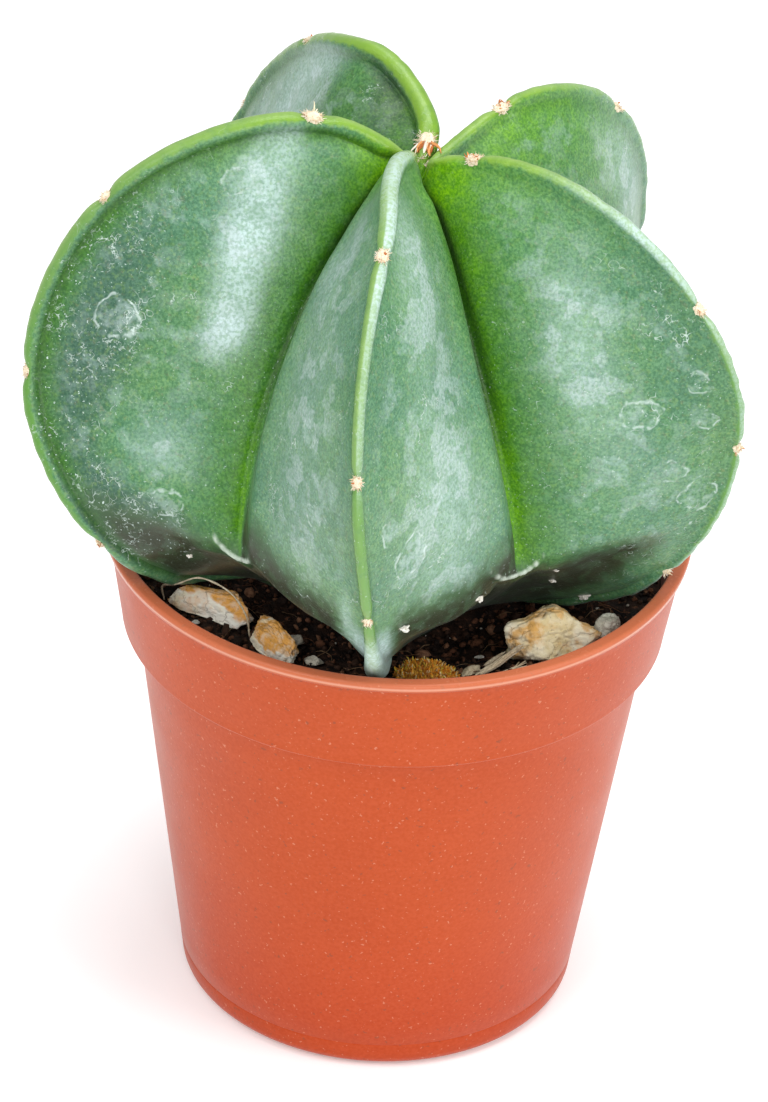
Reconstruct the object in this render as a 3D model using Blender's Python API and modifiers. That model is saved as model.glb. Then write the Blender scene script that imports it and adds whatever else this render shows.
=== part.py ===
"""A young bishop's cap cactus in a small plastic nursery pot.

Run with: blender --background --python part.py

Metres, +Z up. The origin is the middle of the pot's underside. The front of the plant,
one rib with a valley on either hand, looks towards -Y.
"""
import math
from collections import namedtuple

import bmesh
import bpy
from mathutils import Matrix, Vector, noise

MM = 0.001
GAP = 0.3 * MM                 # clearance kept between pieces that touch

# ---- pot: moulded nursery pot with a deep collar
RIM_R = 32.5 * MM
POT_H = 59.2 * MM
WALL = 0.9 * MM
LIP_H = 1.0 * MM               # lip round the rim
LIP_W = 1.6 * MM
LIP_PROUD = 0.7 * MM           # how far the lip stands out from the collar
LIP_ROUND = 0.3 * MM
COLLAR_H = 12.5 * MM
COLLAR_LOW_R = 30.1 * MM
BODY_TOP_R = 28.4 * MM
BODY_LOW_R = 22.2 * MM
BASE_ROUND = 1.6 * MM
FLOOR_T = 1.2 * MM
HOLE_COUNT = 6
HOLE_R = 2.6 * MM
HOLE_RING_R = 14.5 * MM
POT_SIDES = 64

# ---- soil: (radius, height) down from the wall to the dish under the plant
SOIL_TOP = ((29.5, 52.6), (28.6, 53.3), (26.8, 53.5), (24.2, 53.3), (21.8, 52.7), (19.4, 51.9),
            (16.5, 51.2), (12.8, 50.8))
SOIL_SIDES = 48
SOIL_LUMP = 0.35 * MM
SOIL_LUMP_SIZE = 6.0 * MM
SEAT = 0.45 * MM               # what lies on the soil clears its facets by this much
FADE_IN = 4 * MM               # the unevenness comes in over this much from the plant
FADE_OUT = 1 * MM              # and goes out over this much at the wall

# ---- cactus: five ribs round a sunken crown, on a short root neck
CROWN_Z = 103.4 * MM
CROWN_PIT_Z = 102.2 * MM
AXIS_X = 0.3 * MM              # the plant stands this far off the pot's axis
TURN_FROM_Z = 60.0 * MM        # the plant's twist starts here and ends at TURN_TO_Z
TURN_TO_Z = 105.0 * MM
CURL_FROM_Z = 84.0 * MM        # a rib's edge waves sideways between CURL_FROM_Z and
CURL_FULL_Z = (62.0 * MM, 58.5 * MM)
CURL_TO_Z = 53.0 * MM          # CURL_TO_Z, most of all where it passes over the rim
LEAN_R = (3.0 * MM, 20.0 * MM)  # over these radii a rib bends round to meet the crown
Rib = namedtuple("Rib", "heading turn curl lean shoulder widest foot square")
# heading at the base, then turn at the top, curl at the rim and lean at the crown, in
# degrees; (radius, height) in mm of shoulder, widest point and foot; and how square the
# outline is up to the shoulder, down to the widest point and down to the foot
RIBS = {
    "front": Rib(266.0, -4.5, 0, -14, (12.0, 109.2), (39.6, 81.8), (18.0, 52.1),
                 (2.2, 1.85, 1.75)),
    "right": Rib(341.0, -8, -2, 0, (12.4, 108.7), (39.1, 84.4), (12.2, 52.1), (1.6, 1.9, 2.1)),
    "back_right": Rib(412.0, -8, 0, 0, (13.2, 108.0), (37.9, 76.7), (18.0, 52.9),
                      (1.1, 2.2, 1.8)),
    "back_left": Rib(484.0, -8, 0, -36, (15.0, 110.7), (42.8, 86.4), (18.5, 52.2),
                     (1.0, 1.5, 1.6)),
    "left": Rib(558.5, -8, 10, 0, (12.7, 111.6), (42.7, 80.1), (15.7, 54.3), (1.45, 2.0, 1.85)),
}
CREASE_TURN = -8
# crease on the far side of each rib, counting up the headings: (radius, height) where it
# starts at the crown and where it ends above the soil
VALLEYS = {
    "front": ((0.9, 101.0), (23.4, 66.0)),
    "right": ((0.9, 102.5), (24.6, 66.5)),
    "back_right": ((0.9, 102.5), (24.2, 66.0)),
    "back_left": ((0.9, 103.0), (25.4, 67.0)),
    "left": ((0.9, 103.8), (26.8, 67.0)),
}
VALLEY_FOOT = (11.0, 53.0)     # where every crease runs out at the root neck
UNDER_SQUARE = 1.15            # how hollow the plant is below the creases' ends
VALLEY_SQUARE = 1.5
VALLEY_PACE = 1.4              # how a valley's points keep level with the crest's
VALLEY_TURN = 2.5              # distance along the outline where the crease ends
FIRST_ROW = 0.3
ROWS = 26
BEAD_W = 1.05 * MM             # half width of the rolled crest
BEAD_DEEP = 1.9 * MM           # from the crest in to the groove behind the roll
BEAD_ROLL = ((0.3, 0.71), (1.0, 1.0))  # round the roll: (in, across) in half widths
BEAD_NECK = 0.86               # half width at the groove, over that of the roll
BEAD_FULL_R = 3.5 * MM         # nearer the axis than this the roll narrows
BULGE = 0.9 * MM               # how far a flank swells off its chord
BULGE_LOW = 1.4                # above 1, the swelling sits nearer the valley
BULGE_CHORD = 20 * MM          # a flank narrower than this swells less
FLANK = (0.2, 0.42, 0.65, 0.86)
NECK = ((9.4, 51.7), (8.3, 50.6), (6.6, 44.5))

# ---- areoles: distance along each rib's outline (0 crown, 1 shoulder, 2 widest point,
# 3 foot) and radius of the wool pad in mm
AREOLES = {
    "front": ((1.27, 1.2), (1.83, 0.95), (2.3, 0.8)),
    "right": ((0.62, 1.3), (1.62, 1.1), (2.08, 0.9), (2.5, 0.8)),
    "back_right": ((0.8, 1.3), (1.45, 1.1), (1.95, 0.9), (2.4, 0.8)),
    "back_left": ((0.35, 1.6), (1.4, 1.2), (1.85, 1.0), (2.25, 0.8)),
    "left": ((0.88, 1.5), (1.5, 1.05), (1.95, 0.95), (2.42, 0.8)),
}

PAD_HEIGHT = 0.3               # half a pad's thickness over its radius

# ---- grit: centre x and y, length, width and height in mm, turn in degrees, seed
STONE_ROUGH = 0.35
CRUMB_ROUGH = 0.25
LUMP_SIZE = 1.3                # how finely a stone is dented
LEAST_T = 0.1 * MM             # a stone's edge is at least this thick
BEDDED = 0.25                  # a stone's middle lies this much of its height above the soil
STONES = {
    "stone_left_long": (-19.4, -12.2, 9.4, 4.0, 4.6, -18, 3),
    "stone_left_short": (-12.7, -17.9, 7.6, 3.9, 4.4, -56, 8),
    "stone_grey_front": (-8.3, -19.6, 2.2, 1.6, 1.6, 10, 5),
    "stone_grey_left": (-10.4, -14.9, 2.0, 1.7, 1.5, 40, 6),
    "stone_right_big": (16.8, -15.2, 10.4, 6.4, 6.4, 12, 12),
    "stone_right_small": (23.4, -12.4, 3.6, 2.8, 3.6, 50, 9),
    "stone_back_left": (-16.5, 17.8, 6.4, 4.2, 3.6, 130, 21),
    "stone_back": (8.6, 25.0, 5.2, 3.6, 3.2, 20, 22),
    "stone_back_right": (22.6, 9.5, 6.0, 4.0, 3.8, 65, 23),
}
CRUMBS = {
    "perlite_front": (14.6, -22.2, 1.1, 0.8, 0.9, 0, 31),
    "perlite_left": (-21.3, -14.9, 0.8, 0.7, 0.7, 0, 32),
    "perlite_mid": (9.6, -16.4, 0.9, 0.7, 0.7, 0, 33),
    "perlite_back": (-6.8, 24.6, 1.2, 0.9, 0.9, 0, 34),
    "husk": (8.7, -20.7, 2.6, 1.5, 1.3, 50, 35),
    "moss_clump": (4.0, -21.6, 6.4, 4.2, 2.2, -3, 36),
}
# straws and roots: points in mm, (x, y, height above the soil), and radius
STRAWS = {
    "straw_long": (((9.7, -22.3, 0.4), (11.2, -20.9, 0.7), (12.5, -19.4, 1.5)), 0.35),
    "straw_short": (((10.2, -20.0, 0.4), (10.5, -18.9, 0.5), (11.0, -17.5, 0.7)), 0.3),
    "straw_thin": (((11.4, -22.5, 0.4), (12.7, -21.5, 0.4), (14.0, -20.7, 0.5)), 0.25),
    "root_fibre": (((-25.0, -10.8, 0.4), (-25.2, -10.8, 2.2), (-24.0, -12.6, 3.4),
                    (-20.8, -14.8, 3.8), (-18.0, -16.2, 3.4), (-16.8, -17.2, 1.8)), 0.16),
}


def set_material(obj, name, colour, roughness):
    mat = bpy.data.materials.get(name)
    if mat is None:
        mat = bpy.data.materials.new(name)
        mat.use_nodes = True
        shader = mat.node_tree.nodes["Principled BSDF"]
        shader.inputs["Base Color"].default_value = (*colour, 1.0)
        shader.inputs["Roughness"].default_value = roughness
        shader.inputs["Metallic"].default_value = 0.0
    obj.data.materials.append(mat)


def new_object(name, data, collection):
    obj = bpy.data.objects.new(name, data)
    collection.objects.link(obj)
    return obj


def mesh_object(name, bm, collection):
    mesh = bpy.data.meshes.new(name)
    bm.to_mesh(mesh)
    bm.free()
    mesh.shade_smooth()
    return new_object(name, mesh, collection)


def turned(name, profile, sides, collection):
    """A solid of revolution about Z, with its profile's ends on the axis."""
    bm = bmesh.new()
    verts = [bm.verts.new((r, 0.0, z)) for r, z in profile]
    for above, below in zip(verts, verts[1:]):
        bm.edges.new((above, below))
    obj = mesh_object(name, bm, collection)
    screw = obj.modifiers.new("turn", "SCREW")
    screw.steps = sides
    screw.render_steps = sides
    screw.use_merge_vertices = True
    screw.merge_threshold = 0.00001
    screw.use_smooth_shade = True
    return obj


def evaluated(obj):
    """A bmesh of the object with its modifiers applied; the object itself goes."""
    graph = bpy.context.evaluated_depsgraph_get()
    mesh = bpy.data.meshes.new_from_object(obj.evaluated_get(graph))
    bm = bmesh.new()
    bm.from_mesh(mesh)
    bpy.data.objects.remove(obj)
    bpy.data.meshes.remove(mesh)
    return bm


def round_corner(centre_r, centre_z, radius, start, end, steps=3):
    """Points of an arc between two angles in degrees, as (radius, height)."""
    turns = [math.radians(start + (end - start) * i / steps) for i in range(steps + 1)]
    return [(centre_r + radius * math.cos(a), centre_z + radius * math.sin(a)) for a in turns]


def make_pot(collection, cutters):
    collar_z = POT_H - COLLAR_H
    lip_z = POT_H - LIP_H
    collar_top_r = RIM_R - LIP_PROUD
    inner_low = (BODY_LOW_R - WALL, FLOOR_T + BASE_ROUND)
    profile = [
        (0.0, FLOOR_T),
        (inner_low[0] - BASE_ROUND, FLOOR_T),
        inner_low,
        (BODY_TOP_R - WALL, collar_z + WALL),
        (COLLAR_LOW_R - WALL, collar_z + WALL),
        (RIM_R - LIP_W, lip_z),
        *round_corner(RIM_R - LIP_W + LIP_ROUND, POT_H - LIP_ROUND, LIP_ROUND, 180, 90, 2),
        *round_corner(RIM_R - LIP_ROUND, POT_H - LIP_ROUND, LIP_ROUND, 90, 0),
        (RIM_R, lip_z),
        (collar_top_r, lip_z - LIP_PROUD),
        (COLLAR_LOW_R, collar_z + LIP_ROUND),
        (COLLAR_LOW_R - LIP_ROUND, collar_z),
        (BODY_TOP_R, collar_z),
        *round_corner(BODY_LOW_R - BASE_ROUND, BASE_ROUND, BASE_ROUND, 0, -90),
        (0.0, 0.0),
    ]
    pot = turned("pot", profile, POT_SIDES, collection)
    for i in range(HOLE_COUNT):
        a = 2 * math.pi * (i + 0.5) / HOLE_COUNT
        bm = bmesh.new()
        spot = Matrix.Translation((HOLE_RING_R * math.cos(a), HOLE_RING_R * math.sin(a), 0.0))
        bmesh.ops.create_cone(bm, cap_ends=True, segments=16, radius1=HOLE_R, radius2=HOLE_R,
                              depth=4 * FLOOR_T, matrix=spot)
        cutter = mesh_object(f"drain_hole_{i + 1}", bm, cutters)
        cutter.hide_render = True
        cutter.display_type = "WIRE"
        cut = pot.modifiers.new(f"drain {i + 1}", "BOOLEAN")
        cut.operation = "DIFFERENCE"
        cut.object = cutter
    set_material(pot, "terracotta_plastic", (0.62, 0.14, 0.045), 0.42)


def soil_height(x, y):
    """Height of the soil's surface at a point."""
    r = math.hypot(x, y)
    rings = [(a * MM, z * MM) for a, z in SOIL_TOP]
    z = rings[-1][1] if r < rings[-1][0] else rings[0][1]
    for (outer, outer_z), (inner, inner_z) in zip(rings, rings[1:]):
        if inner <= r <= outer:
            z = inner_z + (outer_z - inner_z) * (r - inner) / (outer - inner)
    return z + soil_lump(x, y)


def soil_lump(x, y):
    """Unevenness of the soil, none at the wall and under the plant."""
    r = math.hypot(x, y)
    inner = SOIL_TOP[-1][0] * MM
    outer = SOIL_TOP[0][0] * MM
    if not inner < r < outer:
        return 0.0
    fade = min(1.0, (r - inner) / FADE_IN, (outer - r) / FADE_OUT)
    return SOIL_LUMP * fade * noise.noise(Vector((x, y, 0.0)) / SOIL_LUMP_SIZE)


def make_soil(collection):
    collar_z = POT_H - COLLAR_H
    floor_z = FLOOR_T + GAP
    low_r = BODY_LOW_R - WALL - GAP
    (shoulder_r, shoulder_z), (tip_r, tip_z) = NECK[1:]
    room = (GAP + AXIS_X) / MM
    profile = [(0.0, tip_z - room), (tip_r + room, tip_z - room), (shoulder_r + room, shoulder_z)]
    profile = [(r * MM, z * MM) for r, z in (*profile, *SOIL_TOP[::-1])]
    profile += [
        (COLLAR_LOW_R - WALL - GAP, collar_z + WALL + GAP),
        (BODY_TOP_R - WALL - GAP, collar_z + WALL + GAP),
        (low_r, floor_z + BASE_ROUND),
        (low_r - BASE_ROUND, floor_z),
        (0.0, floor_z),
    ]
    bm = evaluated(turned("potting_soil", profile, SOIL_SIDES, collection))
    for v in bm.verts:
        if v.co.z > SOIL_TOP[-1][1] * MM - SOIL_LUMP:
            v.co.z += soil_lump(v.co.x, v.co.y)
    soil = mesh_object("potting_soil", bm, collection)
    set_material(soil, "peat", (0.028, 0.016, 0.011), 0.95)


def quarter(t, square):
    """(sine, cosine) of a quarter turn, t from 0 to 1, squared off or slackened."""
    a = math.pi * t / 2
    return abs(math.sin(a)) ** (2 / square), abs(math.cos(a)) ** (2 / square)


def crest(rib, t):
    """A rib's outline: (radius, height) at t, from 0 at the crown to 3 at the foot."""
    shoulder, widest, foot = rib.shoulder, rib.widest, rib.foot
    s, c = quarter(t % 1 if t < 3 else 1, rib.square[min(int(t), 2)])
    if t < 1:
        r = shoulder[0] * (1 - c)
        z = CROWN_Z / MM + (shoulder[1] - CROWN_Z / MM) * s
    elif t < 2:
        r = shoulder[0] + (widest[0] - shoulder[0]) * s
        z = widest[1] + (shoulder[1] - widest[1]) * c
    else:
        r = foot[0] + (widest[0] - foot[0]) * c
        z = foot[1] + (widest[1] - foot[1]) * (1 - s)
    return r * MM, z * MM


def valley(rib, t):
    """The crease past a rib: (radius, height) at t, in step with crest()."""
    start, end = VALLEYS[rib]
    if t <= VALLEY_TURN:
        s, c = quarter((t / VALLEY_TURN) ** VALLEY_PACE, VALLEY_SQUARE)
        r = start[0] + (end[0] - start[0]) * s
        z = end[1] + (start[1] - end[1]) * c
    else:
        s, c = quarter((t - VALLEY_TURN) / (3 - VALLEY_TURN), UNDER_SQUARE)
        r = VALLEY_FOOT[0] + (end[0] - VALLEY_FOOT[0]) * c
        z = VALLEY_FOOT[1] + (end[1] - VALLEY_FOOT[1]) * (1 - s)
    return r * MM, z * MM


def ease(value, start, end):
    """0 at the start value and 1 at the end value, turning smoothly between."""
    t = min(max((value - start) / (end - start), 0.0), 1.0)
    return t * t * (3 - 2 * t)


def place(degrees, r, z):
    """A point of the plant, at a bearing from its axis."""
    a = math.radians(degrees)
    return Vector((AXIS_X + r * math.cos(a), r * math.sin(a), z))


def crest_point(rib, t):
    r, z = crest(rib, t)
    curl = ease(z, CURL_FROM_Z, CURL_FULL_Z[0]) * ease(z, CURL_TO_Z, CURL_FULL_Z[1])
    bearing = rib.heading + rib.turn * ease(z, TURN_FROM_Z, TURN_TO_Z)
    bearing += rib.curl * curl + rib.lean * ease(r, *LEAN_R[::-1])
    return place(bearing, r, z)


def crease_point(heading, rib_name, t):
    r, z = valley(rib_name, t)
    return place(heading + CREASE_TURN * ease(z, TURN_FROM_Z, TURN_TO_Z), r, z)


def crest_frame(rib, t):
    """Crest point, direction along the rib, direction out of it, and direction across."""
    step = 0.02
    point = crest_point(rib, t)
    before = crest_point(rib, max(t - step, 0.01))
    after = crest_point(rib, min(t + step, 3.0))
    along = (after - before).normalized()
    a = math.atan2(point.y, point.x - AXIS_X)
    across = Vector((-math.sin(a), math.cos(a), 0.0))
    out = along.cross(across).normalized()
    if out.dot(point - Vector((AXIS_X, 0.0, 80 * MM))) < 0:
        out.negate()
    return point, along, out, across


def half_rib(rib, side, bottom, t):
    """Points from the crest down one flank, without the crest and the valley."""
    point, along, out, across = crest_frame(rib, t)
    radius = math.hypot(point.x - AXIS_X, point.y)
    width = BEAD_W * min(1.0, radius / BEAD_FULL_R)
    across = across * side
    roll_points = (*BEAD_ROLL, (BEAD_DEEP / BEAD_W, BEAD_NECK))
    roll = [point - out * inward * width + across * apart * width for inward, apart in roll_points]
    chord = bottom - roll[-1]
    normal = along.cross(chord).normalized()
    if normal.dot(across) < 0:
        normal.negate()
    swell = BULGE * min(1.0, chord.length / BULGE_CHORD)
    flank = [
        roll[-1] + chord * s + normal * swell * math.sin(math.pi * s ** BULGE_LOW)
        for s in FLANK
    ]
    return roll + flank


def make_cactus(collection):
    names = list(RIBS)
    headings = [rib.heading for rib in RIBS.values()]
    headings = [headings[-1] - 360] + headings + [headings[0] + 360]
    creases = [(a + b) / 2 for a, b in zip(headings, headings[1:])]
    bm = bmesh.new()
    rows = []
    for i in range(ROWS):
        t = FIRST_ROW + (3 - FIRST_ROW) * i / (ROWS - 1)
        row = []
        for k, (name, rib) in enumerate(RIBS.items()):
            before = crease_point(creases[k], names[k - 1], t)
            after = crease_point(creases[k + 1], name, t)
            row.append(before)
            row += reversed(half_rib(rib, -1, before, t))
            row.append(crest_point(rib, t))
            row += half_rib(rib, 1, after, t)
        rows.append([bm.verts.new(p) for p in row])
    count = len(rows[0])
    for r, z in NECK:
        ring = [place(creases[0] + 360 * j / count, r * MM, z * MM) for j in range(count)]
        rows.append([bm.verts.new(p) for p in ring])
    for upper, lower in zip(rows, rows[1:]):
        for j in range(count):
            k = (j + 1) % count
            bm.faces.new((upper[j], lower[j], lower[k], upper[k]))
    pit = bm.verts.new((AXIS_X, 0.0, CROWN_PIT_Z))
    for j in range(count):
        bm.faces.new((pit, rows[0][j], rows[0][(j + 1) % count]))
    bm.faces.new(reversed(rows[-1]))
    cactus = mesh_object("cactus_body", bm, collection)
    set_material(cactus, "cactus_skin", (0.09, 0.2, 0.08), 0.45)


def make_areoles(collection):
    for name, places in AREOLES.items():
        for i, (t, radius) in enumerate(places):
            point, along, out, _ = crest_frame(RIBS[name], t)
            radius *= MM
            height = PAD_HEIGHT * radius
            axes = Matrix((along, out.cross(along), out)).transposed().to_4x4()
            centre = Matrix.Translation(point + out * (GAP + height))
            size = Matrix.Diagonal((radius, radius, height, 1.0))
            bm = bmesh.new()
            bmesh.ops.create_icosphere(bm, subdivisions=1, radius=1.0,
                                       matrix=centre @ axes @ size)
            pad = mesh_object(f"areole_{name}_{i + 1}", bm, collection)
            set_material(pad, "areole_wool", (0.55, 0.38, 0.24), 0.9)


def make_lump(name, spec, detail, rough, collection):
    """A stone or crumb: a rough ball, longer one way, bedded on the soil."""
    x, y, length, width, height, turn, seed = spec
    bm = bmesh.new()
    bmesh.ops.create_icosphere(bm, subdivisions=detail, radius=1.0)
    centre = Vector((x, y, 0.0)) * MM
    bed = soil_height(centre.x, centre.y)
    rotate = Matrix.Rotation(math.radians(turn), 3, "Z")
    for v in bm.verts:
        p = v.co.normalized()
        p *= 1 + rough * noise.noise(p * LUMP_SIZE + Vector((seed, 2 * seed, 0.0)))
        p = rotate @ Vector((p.x * length / 2, p.y * width / 2, p.z * height / 2)) * MM
        v.co = centre + p + Vector((0.0, 0.0, bed + BEDDED * height * MM))
        v.co.z = max(v.co.z, soil_height(v.co.x, v.co.y) + SEAT + (LEAST_T if p.z > 0 else 0.0))
    return mesh_object(name, bm, collection)


def make_straws(collection):
    for name, (points, radius) in STRAWS.items():
        curve = bpy.data.curves.new(name, "CURVE")
        curve.dimensions = "3D"
        curve.resolution_u = 4
        curve.bevel_depth = radius * MM
        curve.bevel_resolution = 1
        curve.use_fill_caps = True
        spline = curve.splines.new("NURBS")
        spline.points.add(len(points) - 1)
        for knot, (x, y, lift) in zip(spline.points, points):
            z = soil_height(x * MM, y * MM) + (lift + radius) * MM
            knot.co = (x * MM, y * MM, z, 1.0)
        spline.use_endpoint_u = True
        spline.order_u = 3
        straw = new_object(name, curve, collection)
        set_material(straw, "straw", (0.62, 0.5, 0.3), 0.8)


def build():
    for obj in list(bpy.data.objects):
        bpy.data.objects.remove(obj)
    scene = bpy.context.scene
    collection = bpy.data.collections.new("potted_bishops_cap_cactus")
    cutters = bpy.data.collections.new("cutters")
    scene.collection.children.link(collection)
    scene.collection.children.link(cutters)
    make_pot(collection, cutters)
    make_soil(collection)
    make_cactus(collection)
    make_areoles(collection)
    for name, spec in STONES.items():
        stone = make_lump(name, spec, 2, STONE_ROUGH, collection)
        set_material(stone, "grit_stone", (0.5, 0.38, 0.22), 0.85)
    for name, spec in CRUMBS.items():
        crumb = make_lump(name, spec, 2 if name == "moss_clump" else 1, CRUMB_ROUGH, collection)
        set_material(crumb, "crumb", (0.66, 0.58, 0.42), 0.9)
    make_straws(collection)


build()
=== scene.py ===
"""How a young bishop's cap cactus in its plastic nursery pot looks.

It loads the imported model, builds each piece's fine surface round it, from the pot up to the
wool on the crests, and sets up a pale floor, soft light and a camera.
"""
import math
import random
from collections import namedtuple

import bmesh
import bpy
import numpy as np
from mathutils import Matrix, Vector, noise


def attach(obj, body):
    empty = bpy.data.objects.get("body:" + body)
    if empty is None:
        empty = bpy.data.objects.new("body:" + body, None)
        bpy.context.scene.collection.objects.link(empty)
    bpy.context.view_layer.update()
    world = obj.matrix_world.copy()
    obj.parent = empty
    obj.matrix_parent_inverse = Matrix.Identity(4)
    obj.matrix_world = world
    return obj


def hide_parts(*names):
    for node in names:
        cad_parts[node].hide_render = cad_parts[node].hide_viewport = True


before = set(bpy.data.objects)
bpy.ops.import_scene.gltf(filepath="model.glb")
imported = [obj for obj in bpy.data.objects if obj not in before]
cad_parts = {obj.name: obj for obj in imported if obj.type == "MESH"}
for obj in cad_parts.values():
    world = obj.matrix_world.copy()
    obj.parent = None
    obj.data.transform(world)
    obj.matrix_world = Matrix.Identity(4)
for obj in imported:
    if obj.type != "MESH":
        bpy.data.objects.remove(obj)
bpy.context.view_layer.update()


# ---------------------------------------------------------------------------------------
# Pot. A round nursery pot moulded in one shot from terracotta-coloured polypropylene, with
# a deep tapered collar under a thin lip and six drain holes in the floor. The plastic is
# satin, with a fine grain and dust specks; a pale line along the lip is a painted highlight,
# and a thin dark band just under it is a painted shadow.
MM = 0.001
RIM_R = 32.5
POT_H = 59.2
WALL = 0.9
LIP_H = 1.0
LIP_W = 1.6
COLLAR_TOP_R = 31.8
COLLAR_LOW_R = 30.1
COLLAR_Z = 46.7
BODY_TOP_R = 28.4
BODY_LOW_R = 22.2
BASE_ROUND = 1.6
FLOOR_T = 1.2
HOLES = 6
HOLE_R = 2.6
HOLE_RING_R = 14.5
PARTING_Z = 3.2                    # a faint parting line rings the pot here
LIP_ROUND = 0.42
POT_STEPS = 288


def arc(centre_r, centre_z, radius, start, end, steps):
    """Points of an arc in a turned profile, between two angles in degrees."""
    turns = [math.radians(start + (end - start) * i / steps) for i in range(steps + 1)]
    return [(centre_r + radius * math.cos(a), centre_z + radius * math.sin(a)) for a in turns]


def along_line(start, end, steps):
    """Points along a straight stretch of a profile, without its ends."""
    return [
        (start[0] + (end[0] - start[0]) * i / steps, start[1] + (end[1] - start[1]) * i / steps)
        for i in range(1, steps)
    ]


def turn_profile(name, profile, steps):
    """A solid of revolution about Z from (radius, height) points in mm, ends on the axis."""
    bm = bmesh.new()
    verts = [bm.verts.new((r * MM, 0.0, z * MM)) for r, z in profile]
    for above, below in zip(verts, verts[1:]):
        bm.edges.new((above, below))
    bmesh.ops.spin(bm, geom=bm.verts[:] + bm.edges[:], cent=(0, 0, 0), axis=(0, 0, 1),
                   angle=2 * math.pi, steps=steps, use_merge=True)
    bmesh.ops.remove_doubles(bm, verts=bm.verts, dist=0.000001)
    bmesh.ops.recalc_face_normals(bm, faces=bm.faces)
    return new_piece(name, bm)


def new_piece(name, bm):
    """A smooth-shaded object from a bmesh, linked to the scene."""
    mesh = bpy.data.meshes.new(name)
    bm.to_mesh(mesh)
    bm.free()
    mesh.shade_smooth()
    obj = bpy.data.objects.new(name, mesh)
    bpy.context.scene.collection.objects.link(obj)
    return obj


def fit(piece, slot, material, *nodes):
    """Gives a piece its finish and sets it in the model, in place of its plain nodes if any."""
    if material.name not in piece.data.materials:
        piece.data.materials.append(material)
    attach(piece, "root")
    if nodes:
        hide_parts(*nodes)


def add(tree, kind, sockets=None, **settings):
    """A shader node. sockets is {socket: plain value or the output that feeds it}."""
    made = tree.nodes.new("ShaderNode" + kind)
    for name, value in settings.items():
        setattr(made, name, value)
    for socket, value in (sockets or {}).items():
        if isinstance(value, bpy.types.NodeSocket):
            tree.links.new(value, made.inputs[socket])
        else:
            made.inputs[socket].default_value = value
    return made


def blend(tree, factor, first, second, mode="MIX"):
    """first where the factor is 0 and second where it is 1, as colours."""
    colours = [(*c, 1.0) if isinstance(c, tuple) and len(c) == 3 else c for c in (first, second)]
    mixed = add(tree, "Mix", {0: factor, 6: colours[0], 7: colours[1]}, data_type="RGBA",
                blend_type=mode, clamp_factor=True)
    return mixed.outputs[2]


def ramp(tree, value, start, end, low=0.0, high=1.0):
    """low where the value is at start, high where it is at end, smooth between."""
    spread = add(tree, "MapRange", {"Value": value, "From Min": start, "From Max": end,
                                    "To Min": low, "To Max": high},
                 interpolation_type="SMOOTHSTEP")
    return spread.outputs["Result"]


def calc(tree, operation, first, second=0.0):
    """Two values added, subtracted or otherwise put together."""
    return add(tree, "Math", {0: first, 1: second}, operation=operation).outputs[0]


def product(tree, *values):
    """The values multiplied together."""
    result = values[0]
    for value in values[1:]:
        result = calc(tree, "MULTIPLY", result, value)
    return result


def effect(name, inputs, outputs):
    """An empty node group and its input and output nodes."""
    tree = bpy.data.node_groups.new(name, "ShaderNodeTree")
    for label, value in inputs.items():
        socket = tree.interface.new_socket(label, in_out="INPUT", socket_type="NodeSocketFloat")
        socket.default_value = value
    for label in outputs:
        tree.interface.new_socket(label, in_out="OUTPUT", socket_type="NodeSocketFloat")
    return tree, tree.nodes.new("NodeGroupInput"), tree.nodes.new("NodeGroupOutput")


def height_of(tree):
    """How high a point lies on the object, in metres."""
    return add(tree, "SeparateXYZ", {0: add(tree, "TexCoord").outputs["Object"]}).outputs["Z"]


def object_place(tree, size):
    """Where a point lies on the object, in units of size, which is in mm."""
    place = add(tree, "TexCoord").outputs["Object"]
    per_metre = calc(tree, "DIVIDE", 1 / MM, size)
    return add(tree, "VectorMath", {0: place, "Scale": per_metre}, operation="SCALE").outputs[0]


def make_blotches():
    """Blotches of a size in mm: a mask that covers a share of the surface, and its relief."""
    inputs = {"Size": 1.0, "Cover": 0.5, "Softness": 0.1, "Detail": 3.0, "Seed": 0.0}
    tree, given, out = effect("blotches", inputs, ("Mask", "Relief"))
    place = object_place(tree, given.outputs["Size"])
    cloud = add(tree, "TexNoise", {"Vector": place, "W": given.outputs["Seed"], "Scale": 1.0,
                                   "Detail": given.outputs["Detail"], "Roughness": 0.55},
                noise_dimensions="4D").outputs[0]
    level = add(tree, "MapRange", {"Value": given.outputs["Cover"], "To Min": 0.7,
                                   "To Max": 0.3}).outputs["Result"]
    low = calc(tree, "SUBTRACT", level, given.outputs["Softness"])
    high = calc(tree, "ADD", level, given.outputs["Softness"])
    mask = ramp(tree, cloud, low, high)
    tree.links.new(mask, out.inputs["Mask"])
    tree.links.new(cloud, out.inputs["Relief"])
    return tree


BLOTCHES = make_blotches()


def blotches(tree, size, cover=0.5, softness=0.1, detail=3.0, seed=0.0, output="Mask"):
    """The blotches effect in a material."""
    group = add(tree, "Group", node_tree=BLOTCHES)
    values = (size, cover, softness, detail, seed)
    for label, value in zip(("Size", "Cover", "Softness", "Detail", "Seed"), values):
        group.inputs[label].default_value = value
    return group.outputs[output]


def new_material(name, **plain):
    """A material and its shader, with the shader's plain values set on its own sockets."""
    material = bpy.data.materials.new(name)
    material.use_nodes = True
    tree = material.node_tree
    shader = tree.nodes["Principled BSDF"]
    for socket, value in plain.items():
        shader.inputs[socket.replace("_", " ")].default_value = value
    return material, tree, shader


def relief(tree, shader, height, depth, normal=None):
    """Bumps of a depth in mm, into the shader's normal."""
    sockets = {"Height": height, "Distance": depth * MM, "Strength": 1.0}
    if normal is not None:
        sockets["Normal"] = normal
    bump = add(tree, "Bump", sockets).outputs[0]
    tree.links.new(bump, shader.inputs["Normal"])
    return bump


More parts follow.
